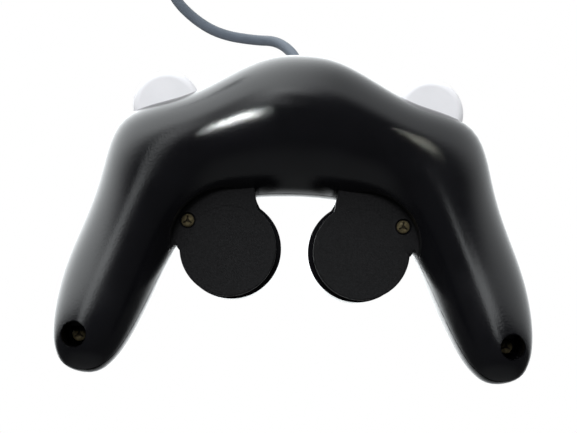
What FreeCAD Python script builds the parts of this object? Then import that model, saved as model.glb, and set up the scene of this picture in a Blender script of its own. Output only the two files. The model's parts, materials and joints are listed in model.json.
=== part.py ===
import FreeCAD, Part
import math
import os
from collections import namedtuple

# A wired gamepad, lying face down as photographed: +Z up out of its back, +Y towards the cord.
# The player's left hand side is at +X. All sizes are in millimetres, and z = 0 is the table.

V = FreeCAD.Vector
UP = V(0, 0, 1)
os.makedirs("parts", exist_ok=True)

# Casing
wall = 2.2                # thickness of both shells
parting_gap = 0.3         # visible line between the shells
running_gap = 0.3         # clearance round every button
seat_gap = 0.3            # what a moving piece keeps from its stop
seam_z = 29.0             # parting plane of the middle of the casing
seam_turn_y = -8.5        # where the parting line starts to follow the grips
seam_slope = 0.764        # rise of the parting line along the grips
seam_blend = 20.0         # radius between the flat and the rising stretch
crown_power = 2.2         # roundness of the back
face_power = 3.4          # flatness of the face

# Sections of the casing from the middle to one grip's end: place, heading of the section's outward
# side from +Y, half widths outwards and inwards, and heights of the back, the face and the widest
# line. The skin follows them as a smooth spline, a little inside their corners.
Section = namedtuple("Section", "x y heading out inn back face mid")
middle = Section(0, 27.7, 0, 22.2, 22.0, 50.6, 9.0, 25.0)
grip = [
    Section(10.0, 26.9, 3, 22.2, 21.5, 50.2, 9.0, 25.0),
    Section(19.5, 24.0, 12, 18.6, 19.8, 49.2, 9.0, 25.0),
    Section(29.0, 20.0, 27, 16.0, 17.8, 48.4, 9.0, 25.0),
    Section(38.0, 13.5, 48, 25.8, 16.4, 48.6, 9.0, 25.5),
    Section(44.5, 3.5, 67, 16.9, 14.2, 50.4, 9.6, 27.0),
    Section(49.0, -7.5, 75, 15.6, 13.2, 53.2, 12.5, 30.0),
    Section(52.8, -17.0, 76, 15.0, 13.2, 56.6, 18.0, 35.0),
    Section(56.0, -26.0, 76, 13.6, 13.2, 60.6, 25.0, 41.0),
    Section(58.4, -34.5, 76, 11.6, 12.2, 64.2, 32.5, 47.0),
    Section(59.6, -41.0, 77, 9.8, 10.4, 65.6, 38.5, 51.0),
    Section(60.4, -45.5, 78, 7.6, 8.1, 64.0, 42.8, 53.0),
    Section(60.9, -49.1, 78, 4.4, 4.6, 60.0, 47.4, 53.7),
]
section_points = 24

# Round pods beside the middle: the front ring is a little larger than the back plate
pod_x = 19.3
pod_y = -11.5
pod_front_r = 15.2
pod_back_r = 14.6
pod_lean = 0.9            # how far the back plate sits outboard of the front ring
pod_face_z = 12.5
pod_back_z = 36.0
recess_r = 17.0           # round step where the swelling back meets the flat plate
recess_shift = 1.2        # the step's centre, outboard of and above the pod's
arch_x = 12.6             # where the pod's neck meets the arch between the pods
arch_y = 6.1
neck_drop = 2.5
neck_reach = 12.5
web_x, web_y = 17.9, 2.2  # corner of the web between pod and grip, from the pod's centre
web_foot_x, web_foot_y = 15.7, -1.0   # where the web leaves the pod's disc, from there too

# Boards
board_z = 29.0
board_t = 1.6
small_board_t = 1.2
c_board_z, c_board_r = 30.6, 11.2
board_post_x, board_post_y, board_post_r = 14.0, 36.5, 2.6
board_screw_r = 0.9
board_rest_dx, board_rest_r = 8.0, 1.8

# Stick bowl and gates
stick_x, stick_y = 39.0, 13.5
bowl_r = 13.5
bowl_z = 11.8
gate_r = 8.6
c_gate_r = 7.6
stick_tilt = 15.0

# Face buttons
a_x, a_y, a_r = -37.0, 13.0, 7.0
b_distance, b_angle, b_r = 14.8, -15.0, 4.7
bean_mid_r, bean_half_w, bean_half_angle = 11.0, 2.1, 22.0
x_angle, y_angle = 168.0, 85.0
start_y, start_r = 15.5, 3.6
a_top, b_top, bean_top, start_top = 0.0, 3.2, 3.8, 6.4
collar_low, collar_z = 8.0, 15.0          # outer and inner ends of the collars round the buttons
collar_w = 1.2
flange_t = 1.2
flange_w = 0.4
dome_h = 3.3
sheet_t = 1.2

# Directional pad
pad_half, pad_arm = 9.8, 3.3
pad_top = 7.5
pad_gap = 0.8
pad_flange_z, pad_flange_r = 16.4, 10.5
pad_pivot_z, pad_ball_r = 19.0, 2.2
pad_board_z, pad_board_r = 23.0, 11.5

# Shoulder triggers: a disc whose slanted inner side faces the casing, turning about a pin
trigger_x, trigger_y, trigger_r = 41.1, 33.2, 10.5
trigger_low, trigger_high = 14.5, 27.2
trigger_in_y, trigger_slant = 31.5, 24.0
trigger_turn, trigger_gap = 13.0, 0.5
hinge_y, hinge_z, hinge_r = 29.3, 16.0, 1.0
tongue_x0, tongue_x1, tongue_half = 34.0, 41.6, 1.9
ear_t, ear_gap = 1.3, 0.3
lug_x, lug_t, lug_low, lug_high = 27.6, 1.6, 20.0, 23.5
spring_x, spring_z, spring_seat_y = 46.0, 22.0, 23.5

# Shoulder button beside the right trigger
z_x, z_y, z_z, z_heading = -24.4, 39.2, 14.2, -25.0
z_half, z_thick, z_proud, z_high, z_travel = 5.0, 5.0, 2.6, 4.4, 1.0
z_stem_half, z_stem_high, z_stem_reach = 3.2, 3.2, 7.5
z_switch_half, z_switch_high, z_switch_t = 4.2, 4.4, 1.6
z_stay_t, z_stay_grow = 1.2, 4.0

# Rumble motor
motor_y, motor_z, motor_r = 26.5, 39.6, 6.0
motor_x0, motor_x1 = -15.0, 4.0
motor_shaft_r, motor_shaft_len, weight_r = 0.9, 7.5, 5.6

# Case screws
screw_r, screw_head_r, screw_head_t, screw_len = 1.25, 2.0, 1.4, 10.0
pod_screw_x, pod_screw_y = 32.65, -3.6
grip_screw_x, grip_screw_y = 61.6, -38.6
grip_well_r, grip_well_wall, grip_well_z = 3.6, 1.4, 50.5
grip_boss_z = grip_well_z - 2.0    # lower end of the back's bosses, which reach into the front shell
pillar_r = 3.2

# Cord: where it leaves, its route to the coil, and the coil of the length that is put away
cord_d = 3.4
cord_len = 2000.0
exit_y, exit_z = 41.5, 15.2
notch_r = 6.0
grommet_r, grommet_flange_r, grommet_flange_t = 2.4, 3.0, 1.5
cord_exit = (0.0, exit_y + grommet_flange_t, exit_z)
cord_z = cord_d / 2
cord_route = [cord_exit, (0.0, 44.5, exit_z), (-0.6, 51.3, 14.4), (-6.8, 58.2, 7.2), (-14.8, 59.3, cord_z),
              (-26.0, 60.8, cord_z), (-34.5, 65.3, cord_z), (-42.4, 72.8, cord_z),
              (-48.0, 86.5, cord_z), (-50.0, 99.3, cord_z)]
coil_mean_r = 19.0
coil_layers = 4
coil_pitch = 4.1          # between neighbouring turns, and between layers
coil_lead = 80.0          # what the cord takes from the top layer to the plug
plug_w, plug_h, plug_len = 14.0, 10.0, 24.0
shroud_w, shroud_h, shroud_len = 12.0, 8.0, 12.0


def cyl(r, x, y, z0, z1):
    return Part.makeCylinder(r, z1 - z0, V(x, y, z0), UP)


def cone(r0, r1, x, y, z0, z1):
    return Part.makeCone(r0, r1, z1 - z0, V(x, y, z0), UP)


def box(x0, x1, y0, y1, z0, z1):
    return Part.makeBox(x1 - x0, y1 - y0, z1 - z0, V(x0, y0, z0))


def prism(points, z0, z1):
    face = Part.Face(Part.makePolygon([V(x, y, z0) for x, y in points + points[:1]]))
    return face.extrude(V(0, 0, z1 - z0))


def rod(r, start, end):
    return Part.makeCylinder(r, (end - start).Length, start, end - start)


def mirror(shape):
    return shape.mirror(V(0, 0, 0), V(1, 0, 0))


def fuse(shapes):
    return shapes[0].multiFuse(shapes[1:]).removeSplitter() if len(shapes) > 1 else shapes[0]


def revolve(points, x, y):
    """Solid of revolution about the vertical through x, y, from (radius, z) points."""
    wire = Part.makePolygon([V(x + r, y, z) for r, z in points + points[:1]])
    return Part.Face(wire).revolve(V(x, y, 0), UP, 360)


def export(name, shapes):
    shape = shapes if isinstance(shapes, Part.Shape) else Part.makeCompound(shapes)
    solids = shape.Solids
    bad = [s for s in solids if not s.isValid() or s.Volume <= 0]
    whole = solids[0] if len(solids) == 1 else Part.makeCompound(solids)
    whole.exportStep("parts/" + name + ".step")
    note = " INVALID" if bad or not solids else ""
    print(f"{name}: {len(solids)} solid(s), {sum(s.Volume for s in solids) / 1000:.2f} cm3{note}")


# The casing's outer and inner form

def section_ring(s, inset, side):
    """Points round one section, drawn in by inset; side is 1 or -1."""
    turn = math.radians(s.heading)
    outward = V(math.sin(turn), math.cos(turn), 0)
    ring = []
    for k in range(section_points):
        a = 2 * math.pi * k / section_points
        c, up = math.cos(a), math.sin(a)
        power = 2 / (crown_power if up >= 0 else face_power)
        across = (s.out if c >= 0 else s.inn) - inset
        high = (s.back - s.mid if up >= 0 else s.mid - s.face) - inset
        h = across * math.copysign(abs(c) ** power, c)
        v = high * math.copysign(abs(up) ** power, up)
        ring.append(V(side * (s.x + outward.x * h), s.y + outward.y * h, s.mid + v))
    return ring


def body(inset):
    """The whole horseshoe from one grip's end to the other, drawn in by inset, as one smooth skin."""
    end = grip[-1]
    cap = end._replace(y=end.y + inset)
    stations = grip[:-1] + [cap]
    rows = [[V(-cap.x, cap.y, cap.mid)] * section_points]
    rows += [section_ring(s, inset, -1) for s in reversed(stations)]
    rows += [section_ring(middle, inset, 1)]
    rows += [section_ring(s, inset, 1) for s in stations]
    rows += [[V(cap.x, cap.y, cap.mid)] * section_points]
    spans = len(rows) - 3
    skin = Part.BSplineSurface()
    knots, ring_knots = list(range(spans + 1)), list(range(section_points + 1))
    skin.buildFromPolesMultsKnots(rows, [4] + [1] * (spans - 1) + [4], [1] * len(ring_knots),
                                  knots, ring_knots, False, True, 3, 3)
    solid = Part.makeSolid(Part.makeShell([skin.toShape()]))
    if solid.Volume < 0:
        solid.reverse()
    return solid


def neck(side, inset, z0, z1):
    """Web that joins a pod to the arch and to the grip."""
    points = [
        (arch_x + inset, arch_y + inset),
        (arch_x - 0.4 + inset, arch_y - neck_drop),
        (arch_x - 1.6 + inset, arch_y - 2 * neck_drop),
        (pod_x, pod_y),
        (pod_x + web_foot_x - inset, pod_y + web_foot_y + inset),
        (pod_x + web_x - inset, pod_y + web_y + inset),
        (pod_x + web_x + 4, neck_reach),
        (arch_x + 1.4 + inset, neck_reach),
    ]
    return prism([(side * x, y) for x, y in points], z0, z1)


def pods(inset, z0, z1, back):
    shapes = []
    for side in (-1, 1):
        x = side * (pod_x + (pod_lean if back else 0))
        r = (pod_back_r if back else pod_front_r) - inset
        shapes += [cyl(r, x, pod_y, z0, z1), neck(side, inset, z0, z1)]
    return fuse(shapes)


def recesses(grow, z):
    shift = recess_shift
    return [cyl(recess_r + grow, k * (pod_x + shift), pod_y + shift, z, z + 40) for k in (-1, 1)]


def casing(inset, join_z):
    """The whole casing drawn in by inset; the pods' front rings end at join_z."""
    form = body(inset).fuse(pods(inset, pod_face_z + inset, join_z, False))
    form = form.fuse(pods(inset, seam_z, pod_back_z - inset, True))
    return form.cut(recesses(inset, pod_back_z - inset))


def front_zone(gap):
    """Everything on the face side of the parting line, raised by gap."""
    reach, low = 90.0, -20.0
    angle = math.atan(seam_slope)
    run = seam_blend * math.tan(angle / 2)
    z = seam_z + gap
    start = V(-reach, seam_turn_y + run, z)
    end = V(-reach, seam_turn_y - run * math.cos(angle), z + run * math.sin(angle))
    half = angle / 2
    bend = V(-reach, start.y - seam_blend * math.sin(half), z + seam_blend * (1 - math.cos(half)))
    corners = [end, V(-reach, -reach, end.z + seam_slope * (end.y + reach)), V(-reach, -reach, low),
               V(-reach, reach, low), V(-reach, reach, z), start]
    edges = [Part.LineSegment(a, b).toShape() for a, b in zip(corners, corners[1:])]
    edges.append(Part.Arc(start, bend, end).toShape())
    zone = Part.Face(Part.Wire(edges)).extrude(V(2 * reach, 0, 0))
    pods_x = pod_x + recess_r - 0.4
    return zone.cut(box(-pods_x, pods_x, -reach, pod_y + 2, z, z + reach))


# Openings and buttons of the face

def octagon(r, x, y, z0, z1):
    corner = r / math.cos(math.pi / 8)
    angles = [math.pi / 8 + k * math.pi / 4 for k in range(8)]
    return prism([(x + corner * math.cos(a), y + corner * math.sin(a)) for a in angles], z0, z1)


def polar(r, angle):
    """Point at r from the large button, at an angle from +X in degrees."""
    return a_x + r * math.cos(math.radians(angle)), a_y + r * math.sin(math.radians(angle))


def bean(angle, grow, z0, z1):
    """Kidney-shaped button outline round the large button, grown by grow."""
    w = bean_half_w + grow
    ring = cyl(bean_mid_r + w, a_x, a_y, z0, z1).cut(cyl(bean_mid_r - w, a_x, a_y, z0, z1))
    sides = (angle - bean_half_angle, angle + bean_half_angle)
    wedge = prism([(a_x, a_y)] + [polar(4 * bean_mid_r, a) for a in sides], z0, z1)
    ends = [cyl(w, *polar(bean_mid_r, a), z0, z1) for a in sides]
    return fuse([ring.common(wedge)] + ends)


def cross(grow, z0, z1):
    x, y, a, b = pod_x, pod_y, pad_half + grow, pad_arm + grow
    return fuse([box(x - a, x + a, y - b, y + b, z0, z1), box(x - b, x + b, y - a, y + a, z0, z1)])


b_x, b_y = polar(b_distance, b_angle)
x_stem, y_stem = polar(bean_mid_r, x_angle), polar(bean_mid_r, y_angle)
dome_top = board_z - sheet_t - dome_h
stem_end = dome_top - seat_gap

# Each face button: its outline grown by g between two heights, its outer height, its stem and crown
Button = namedtuple("Button", "outline top stem stem_r crown")
buttons = {
    "a_button": Button(lambda g, z0, z1: cyl(a_r + g, a_x, a_y, z0, z1), a_top, (a_x, a_y), 3.6, 1.0),
    "b_button": Button(lambda g, z0, z1: cyl(b_r + g, b_x, b_y, z0, z1), b_top, (b_x, b_y), 2.6, 0.8),
    "x_button": Button(lambda g, z0, z1: bean(x_angle, g, z0, z1), bean_top, x_stem, 2.0, 0.6),
    "y_button": Button(lambda g, z0, z1: bean(y_angle, g, z0, z1), bean_top, y_stem, 2.0, 0.6),
    "start_button": Button(lambda g, z0, z1: cyl(start_r + g, 0, start_y, z0, z1), start_top,
                           (0, start_y), 2.2, 0.5),
}


# Left trigger, at +X, and the window that it turns through

pin_x0, pin_x1 = tongue_x0 - ear_gap - ear_t, tongue_x1 + ear_gap + ear_t


def inner_side_y(x):
    """Where the trigger's slanted inner side lies at x."""
    return trigger_in_y - (x - trigger_x) * math.tan(math.radians(trigger_slant))


def trigger_solid():
    disc = cyl(trigger_r, trigger_x, trigger_y, trigger_low, trigger_high)
    disc = disc.makeFillet(2.4, [e for e in disc.Edges if isinstance(e.Curve, Part.Circle)])
    x0, x1 = trigger_x - 2 * trigger_r, trigger_x + 2 * trigger_r
    outside = prism([(x0, inner_side_y(x0)), (x1, inner_side_y(x1)), (x1, 90), (x0, 90)], 0, 60)
    tongue = box(tongue_x0, tongue_x1, hinge_y, inner_side_y(tongue_x1) + 5, hinge_z - tongue_half,
                 hinge_z + tongue_half)
    barrel = rod(tongue_half, V(tongue_x0, hinge_y, hinge_z), V(tongue_x1, hinge_y, hinge_z))
    lug_y = inner_side_y(tongue_x0)
    lug = box(lug_x, tongue_x0 + 1, lug_y - lug_t, lug_y, lug_low, lug_high)
    link = box(tongue_x0 - 2, tongue_x0 + 1, lug_y - lug_t, lug_y + 2, lug_low, lug_high)
    way = rod(hinge_r + 0.05, V(tongue_x0 - 1, hinge_y, hinge_z), V(tongue_x1 + 1, hinge_y, hinge_z))
    ear_room = rod(tongue_half * math.sqrt(2) + ear_gap, V(tongue_x1, hinge_y, hinge_z),
                   V(pin_x1 + ear_gap, hinge_y, hinge_z))
    return fuse([disc.common(outside).cut(ear_room), tongue, barrel, lug, link]).cut(way)


def trigger_window():
    """The window, open towards the parting line."""
    r = trigger_r + trigger_gap
    swing = (trigger_high - hinge_z) * math.sin(math.radians(trigger_turn)) + 2.5
    low, high = trigger_low - 2 * trigger_gap, seam_z + 1
    return fuse([cyl(r, trigger_x, trigger_y, low, high), cyl(r, trigger_x, trigger_y - swing, low, high),
                 box(trigger_x - r, trigger_x + r, trigger_y - swing, trigger_y, low, high)])


z_face = V(math.sin(math.radians(z_heading)), math.cos(math.radians(z_heading)), 0)
z_along = V(z_face.y, -z_face.x, 0)
z_back = z_proud - z_thick


def z_block(grow, half_len, near, far, high):
    """Block square to the shoulder, from near to far along its outward side."""
    low_side = V(z_x, z_y, 0) + z_face * (near - grow)
    depth = z_face * (far - near + 2 * grow)
    side = z_along * (half_len + grow)
    corners = [low_side + side, low_side - side, low_side - side + depth, low_side + side + depth]
    return prism([(c.x, c.y) for c in corners], z_z - high / 2 - grow, z_z + high / 2 + grow)


def spring(r, wire_r, length, turns, start, axis):
    """Open coil spring whose ends lie on the planes of start and start + length * axis."""
    pitch = (length - 2 * wire_r) / turns
    helix = Part.makeHelix(pitch, pitch * turns, r)
    profile = Part.Wire([Part.Circle(V(r, 0, 0), V(0, 1, 0), wire_r).toShape()])
    coil = Part.Wire(helix.Edges).makePipeShell([profile], True, True)
    coil.translate(V(0, 0, wire_r))
    if axis.y:
        coil.rotate(V(0, 0, 0), V(1, 0, 0), -90 * axis.y)
    coil.translate(start)
    return coil


# Casing shells

outer = casing(0, seam_z)
inner = casing(wall, seam_z + 1)
face_zone = front_zone(0)
back_zone = front_zone(parting_gap)

pillars = [cyl(pillar_r, k * grip_screw_x, grip_screw_y, 25, 60) for k in (-1, 1)]
pillars += [cyl(pillar_r, k * pod_screw_x, pod_screw_y, 10, seam_z) for k in (-1, 1)]
pillars += [cyl(board_post_r, k * board_post_x, board_post_y, 10, board_z) for k in (-1, 1)]
bowl_cup = cyl(bowl_r + 2, stick_x, stick_y, 0, bowl_z + wall)
notch_cup = rod(notch_r + wall, V(0, exit_y - wall, exit_z), V(0, exit_y + 9, exit_z))
collars = [b.outline(collar_w, collar_low, collar_z) for b in buttons.values()]
ears = [box(x, x + ear_t, hinge_y - tongue_half, hinge_y + tongue_half, 10, hinge_z + tongue_half)
        for x in (tongue_x0 - ear_gap - ear_t, tongue_x1 + ear_gap)]
ears.append(box(spring_x - 3, spring_x + 3, spring_seat_y - 1.2, spring_seat_y, 10, spring_z + 3))
ears += [mirror(e) for e in ears]
z_switch_near = -z_stem_reach - z_travel - seat_gap
z_switch_far = z_switch_near - z_switch_t
z_stay = z_block(0, z_switch_half, z_switch_far - z_stay_t, z_switch_far, z_high + z_stay_grow)
bridge = [(19.0, 38.1), (24.0, 40.5), (32.0, 37.7), (34.2, 34.3), (24.0, 31.5)]
bridges = fuse([prism([(k * x, y) for x, y in bridge], 17.0, 24.5) for k in (-1, 1)])

holes = [b.outline(running_gap, -1, collar_z + 0.1) for b in buttons.values()]
holes += [
    cyl(bowl_r, stick_x, stick_y, 0, bowl_z),
    octagon(gate_r, stick_x, stick_y, bowl_z - 1, bowl_z + wall + 1),
    octagon(c_gate_r, -pod_x, pod_y, 0, pod_face_z + wall + 1),
    cross(pad_gap, 0, pod_face_z + wall + 1),
    z_block(running_gap, z_half, z_back - z_travel, 8, z_high),
    z_block(running_gap, z_stem_half, -z_stem_reach - z_travel, z_back, z_stem_high),
    rod(notch_r, V(0, exit_y, exit_z), V(0, exit_y + 15, exit_z)),
    rod(grommet_r, V(0, exit_y - 4, exit_z), V(0, exit_y + 4, exit_z)),
]
for k in (-1, 1):
    holes += [
        cyl(screw_r + 0.05, k * pod_screw_x, pod_screw_y, pod_back_z - screw_len - 4, 60),
        cyl(screw_r + 0.05, k * grip_screw_x, grip_screw_y, grip_well_z - screw_len - 0.5, 60),
        cyl(grip_well_r + grip_well_wall + seat_gap, k * grip_screw_x, grip_screw_y, grip_boss_z - seat_gap, 70),
        cyl(board_screw_r + 0.05, k * board_post_x, board_post_y, board_z - 7, board_z),
        rod(hinge_r, V(k * pin_x0, hinge_y, hinge_z), V(k * pin_x1, hinge_y, hinge_z)),
    ]
window = trigger_window()
face_features = pillars + [bowl_cup, notch_cup, z_stay] + collars + ears
front_room = inner.fuse([window, mirror(window)]).cut(fuse(face_features))
front_block = outer.common(face_zone).fuse(bridges)
front_shell = front_block.cut(front_room).cut(fuse(holes))
export("front_shell", max(front_shell.Solids, key=lambda solid: solid.Volume))

head_z = pod_back_z - 0.2 - screw_head_t
back_features, drills, rests, bosses = [], [], [], []
for k in (-1, 1):
    back_features += [
        cyl(pillar_r, k * pod_screw_x, pod_screw_y, seam_z, pod_back_z),
        cyl(grip_well_r + grip_well_wall, k * grip_screw_x, grip_screw_y, grip_boss_z, 80),
    ]
    drills += [
        cyl(screw_head_r + 0.5, k * pod_screw_x, pod_screw_y, head_z, 70),
        cyl(screw_r + 0.25, k * pod_screw_x, pod_screw_y, seam_z, 60),
        cyl(grip_well_r, k * grip_screw_x, grip_screw_y, grip_well_z, 80),
        cyl(screw_r + 0.25, k * grip_screw_x, grip_screw_y, grip_boss_z, 60),
    ]
    rests += [
        cyl(board_rest_r, pod_x + k * board_rest_dx, pod_y, pad_board_z + small_board_t, pod_back_z - 1),
        cyl(board_rest_r, -pod_x + k * board_rest_dx, pod_y, c_board_z + small_board_t, pod_back_z - 1),
    ]
    bosses.append(cyl(grip_well_r + grip_well_wall, k * grip_screw_x, grip_screw_y, grip_boss_z, 56))
back_block = outer.cut(back_zone).cut(inner.cut(fuse(back_features))).fuse(fuse(bosses + rests))
back_shell = back_block.cut(fuse(drills))
export("back_shell", max(back_shell.Solids, key=lambda solid: solid.Volume))


def case_screw(x, y, z):
    """Pan-head screw whose head sits on z, with a three-winged drive."""
    head = cone(screw_head_r, screw_head_r * 0.82, x, y, z, z + screw_head_t)
    slots = []
    for k in range(3):
        slot = box(0.25, 1.5, -0.22, 0.22, 0, 1)
        slot.rotate(V(0, 0, 0), UP, 90 + 120 * k)
        slot.translate(V(x, y, z + screw_head_t - 0.8))
        slots.append(slot)
    return head.fuse(cyl(screw_r, x, y, z - screw_len, z)).cut(slots)


export("case_screws", [case_screw(k * pod_screw_x, pod_screw_y, head_z) for k in (-1, 1)]
       + [case_screw(k * grip_screw_x, grip_screw_y, grip_well_z) for k in (-1, 1)])

# Boards

board_end = board_z + board_t
board_half = [(0, 11), (15, 11), (24, 8), (52, 8), (52.5, 17.5), (46, 27), (36, 31.7), (27, 34),
              (20.5, 37), (16, 41.5), (9, 44.5), (0, 45)]
board_outline = board_half + [(-x, y) for x, y in reversed(board_half[1:-1])]
board_holes = [cyl(board_screw_r + 0.2, k * board_post_x, board_post_y, board_z, board_end) for k in (-1, 1)]
export("main_board", prism(board_outline, board_z, board_end).cut(board_holes))
export("board_screws", [fuse([cyl(board_screw_r, k * board_post_x, board_post_y, board_z - 6, board_end),
                              cyl(1.8, k * board_post_x, board_post_y, board_end, board_end + 1.1)])
                        for k in (-1, 1)])
export("board_chips", [box(18, 28, 17, 27, board_end, board_end + 1.6),
                       box(-34, -27, 19, 25, board_end, board_end + 1.3),
                       cyl(2.2, 34, 12, board_end, board_end + 3.6)])

# Face buttons and the rubber sheets and domes that they press

sheet_z = board_z - sheet_t
sheets = {"face_button_membrane": [], "start_membrane": []}
for name, b in buttons.items():
    x, y = b.stem
    sheet = sheets["start_membrane" if name == "start_button" else "face_button_membrane"]
    sheet += [cone(b.stem_r - 0.2, b.stem_r + 0.6, x, y, dome_top, sheet_z),
              cyl(b.stem_r + 1.4, x, y, sheet_z, board_z)]
    if name in ("b_button", "x_button", "y_button"):
        d = V(x - a_x, y - a_y, 0)
        side = V(-d.y, d.x, 0).normalize() * 2.6
        strip = [(a_x + side.x, a_y + side.y), (a_x - side.x, a_y - side.y), (x - side.x, y - side.y),
                 (x + side.x, y + side.y)]
        sheet.append(prism(strip, sheet_z, board_z))

    flange_z = collar_z + seat_gap
    cap = b.outline(0, b.top, flange_z)
    rim = [e for e in cap.Edges if e.BoundBox.ZMax < b.top + 1e-6]
    flange = b.outline(running_gap + flange_w, flange_z, flange_z + flange_t)
    stem = cyl(b.stem_r, x, y, flange_z + flange_t, stem_end)
    export(name, fuse([cap.makeFillet(b.crown, rim), flange, stem]))
for name, sheet in sheets.items():
    export(name, fuse(sheet))

# Directional pad on a loose ball, held by a post on its own board

flange_end = pad_flange_z + flange_t
ball = V(pod_x, pod_y, pad_pivot_z)
ball_seat_z = pad_pivot_z - pad_ball_r - 0.1
pad = fuse([cross(0, pad_top, pad_flange_z), cyl(pad_flange_r, pod_x, pod_y, pad_flange_z, flange_end),
            cyl(3.6, pod_x, pod_y, flange_end, pad_pivot_z + 1.5)])
dish_r = 26.0
dish = Part.makeSphere(dish_r, V(pod_x, pod_y, pad_top + 0.9 - dish_r))
export("dpad", pad.cut([dish, cyl(pad_ball_r + 0.1, pod_x, pod_y, ball_seat_z, 60)]))
export("dpad_pivot", Part.makeSphere(pad_ball_r, ball))
pad_sheet_z = pad_board_z - sheet_t
pad_dome_ring = 6.6
pad_dome_top = flange_end + 0.75
arms = ((1, 0), (0, 1), (-1, 0), (0, -1))
domes = [(pod_x + pad_dome_ring * i, pod_y + pad_dome_ring * j) for i, j in arms]
pad_sheet = cyl(pad_flange_r - 0.5, pod_x, pod_y, pad_sheet_z, pad_board_z)
export("dpad_membrane", fuse([pad_sheet.cut(cyl(3.0, pod_x, pod_y, pad_sheet_z, pad_board_z))]
                             + [cone(1.6, 2.4, x, y, pad_dome_top, pad_sheet_z) for x, y in domes]))
export("dpad_board", fuse([cyl(pad_board_r, pod_x, pod_y, pad_board_z, pad_board_z + small_board_t),
                           cyl(1.5, pod_x, pod_y, pad_pivot_z + pad_ball_r + 0.05, pad_board_z)]))


# A two-axis stick: housing, cradle turning about X, rocker turning about Y, shaft, cap and spring

def stick(name, x, y, size, roof_z, pivot_z, base_z, cap_profile, shaft_r, mouth_r):
    w, axle_r, pin_r = 0.8, 1.1, 0.7
    house = box(x - size, x + size, y - size, y + size, roof_z, base_z)
    room = box(x - size + w, x + size - w, y - size + w, y + size - w, roof_z + w, base_z - w)
    bearings = [rod(axle_r + 0.1, V(x - size - 1, y, pivot_z), V(x + size + 1, y, pivot_z)),
                rod(axle_r + 0.1, V(x, y - size - 1, pivot_z), V(x, y + size + 1, pivot_z))]
    export(name + "_housing", house.cut([room, cyl(mouth_r, x, y, roof_z - 1, roof_z + w + 1)] + bearings))

    frame_x, frame_y, frame_t = size - 2.5, size - 4.2, 1.1
    gap_x, gap_y = frame_x - 1.4, frame_y - 1.2
    frame = box(x - frame_x, x + frame_x, y - frame_y, y + frame_y, pivot_z - frame_t, pivot_z + frame_t)
    gap = box(x - gap_x, x + gap_x, y - gap_y, y + gap_y, pivot_z - 5, pivot_z + 5)
    pin_way = rod(pin_r + 0.05, V(x, y - frame_y - 1, pivot_z), V(x, y + frame_y + 1, pivot_z))
    axles = [rod(axle_r, V(x - size - 1.0, y, pivot_z), V(x - gap_x, y, pivot_z)),
             rod(axle_r, V(x + gap_x, y, pivot_z), V(x + size - 0.2, y, pivot_z))]
    export(name + "_cradle", fuse([frame] + axles).cut([gap, pin_way]))

    strap_z, strap_t, strap_x = pivot_z + 3.3, 1.0, 2.5
    cheek_in, cheek_out = frame_y + 0.7, frame_y + 1.8
    tail_r, tail_end = 1.1, strap_z + strap_t + 0.5
    parts = [box(x - strap_x, x + strap_x, y - cheek_out, y + cheek_out, strap_z, strap_z + strap_t)]
    for k, reach in ((-1, size + 1.0), (1, size - 0.2)):
        y0, y1 = sorted((y + k * cheek_in, y + k * cheek_out))
        parts += [box(x - strap_x, x + strap_x, y0, y1, pivot_z - 1.6, strap_z + strap_t),
                  rod(axle_r, V(x, y + k * cheek_in, pivot_z), V(x, y + k * reach, pivot_z))]
    slot_y = tail_r + (strap_z + strap_t - pivot_z) * math.tan(math.radians(stick_tilt)) + 0.5
    slot = box(x - tail_r - 0.35, x + tail_r + 0.35, y - slot_y, y + slot_y, strap_z - 1, strap_z + 2)
    export(name + "_rocker", fuse(parts).cut(slot))

    cap_in = 3.0
    export(name + "_shaft", fuse([
        cyl(shaft_r, x, y, cap_in, pivot_z),
        cyl(tail_r, x, y, pivot_z, tail_end),
        Part.makeSphere(shaft_r + 0.1, V(x, y, pivot_z)),
        rod(pin_r, V(x, y - frame_y, pivot_z), V(x, y + frame_y, pivot_z)),
    ]))
    export(name + "_cap", revolve(cap_profile, x, y).cut(cyl(shaft_r, x, y, cap_in, 40)))

    drop = frame_t + frame_y * math.sin(math.radians(stick_tilt)) + 0.5
    seat_z = roof_z + w
    export(name + "_spring", spring(mouth_r + 0.6, 0.25, pivot_z - drop - seat_z, 3, V(x, y, seat_z), UP))

    pot_t, pot_half, pot_low = 3.2, size - 3.2, pivot_z - 4
    pot_x = box(x - size - pot_t, x - size, y - pot_half, y + pot_half, pot_low, base_z)
    pot_y = box(x - pot_half, x + pot_half, y - size - pot_t, y - size, pot_low, base_z)
    export(name + "_sensors", [pot_x.cut(rod(axle_r + 0.1, V(x - size - 1.3, y, pivot_z), V(x, y, pivot_z))),
                               pot_y.cut(rod(axle_r + 0.1, V(x, y - size - 1.3, pivot_z), V(x, y, pivot_z)))])


main_cap = [(0, 1.6), (4.6, 1.2), (4.6, 0.7), (5.6, 0.7), (5.6, 1.0), (6.4, 1.0), (6.4, 0.4), (7.4, 0.2),
            (8.2, 0), (8.9, 0.3), (9.2, 1.0), (9.2, 2.6), (8.8, 3.2), (4.4, 6.2), (4.0, 7.2), (4.0, 13.5),
            (0, 13.5)]
c_cap = [(0, 0.5), (3.2, 0.4), (5.2, 0), (6.2, 0.4), (6.6, 1.2), (6.6, 2.2), (6.1, 2.9), (3.0, 5.2),
         (2.6, 6.2), (2.6, 16.0), (0, 16.0)]
stick("main_stick", stick_x, stick_y, 8.5, 16.0, 22.5, board_z, main_cap, 2.0, 5.0)
stick("c_stick", -pod_x, pod_y, 7.0, 17.6, 24.0, c_board_z, c_cap, 1.3, 4.0)
export("c_stick_board", cyl(c_board_r, -pod_x - pod_lean, pod_y, c_board_z, c_board_z + small_board_t))

# Shoulder triggers with their pins, springs, sliders and sensors

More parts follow.
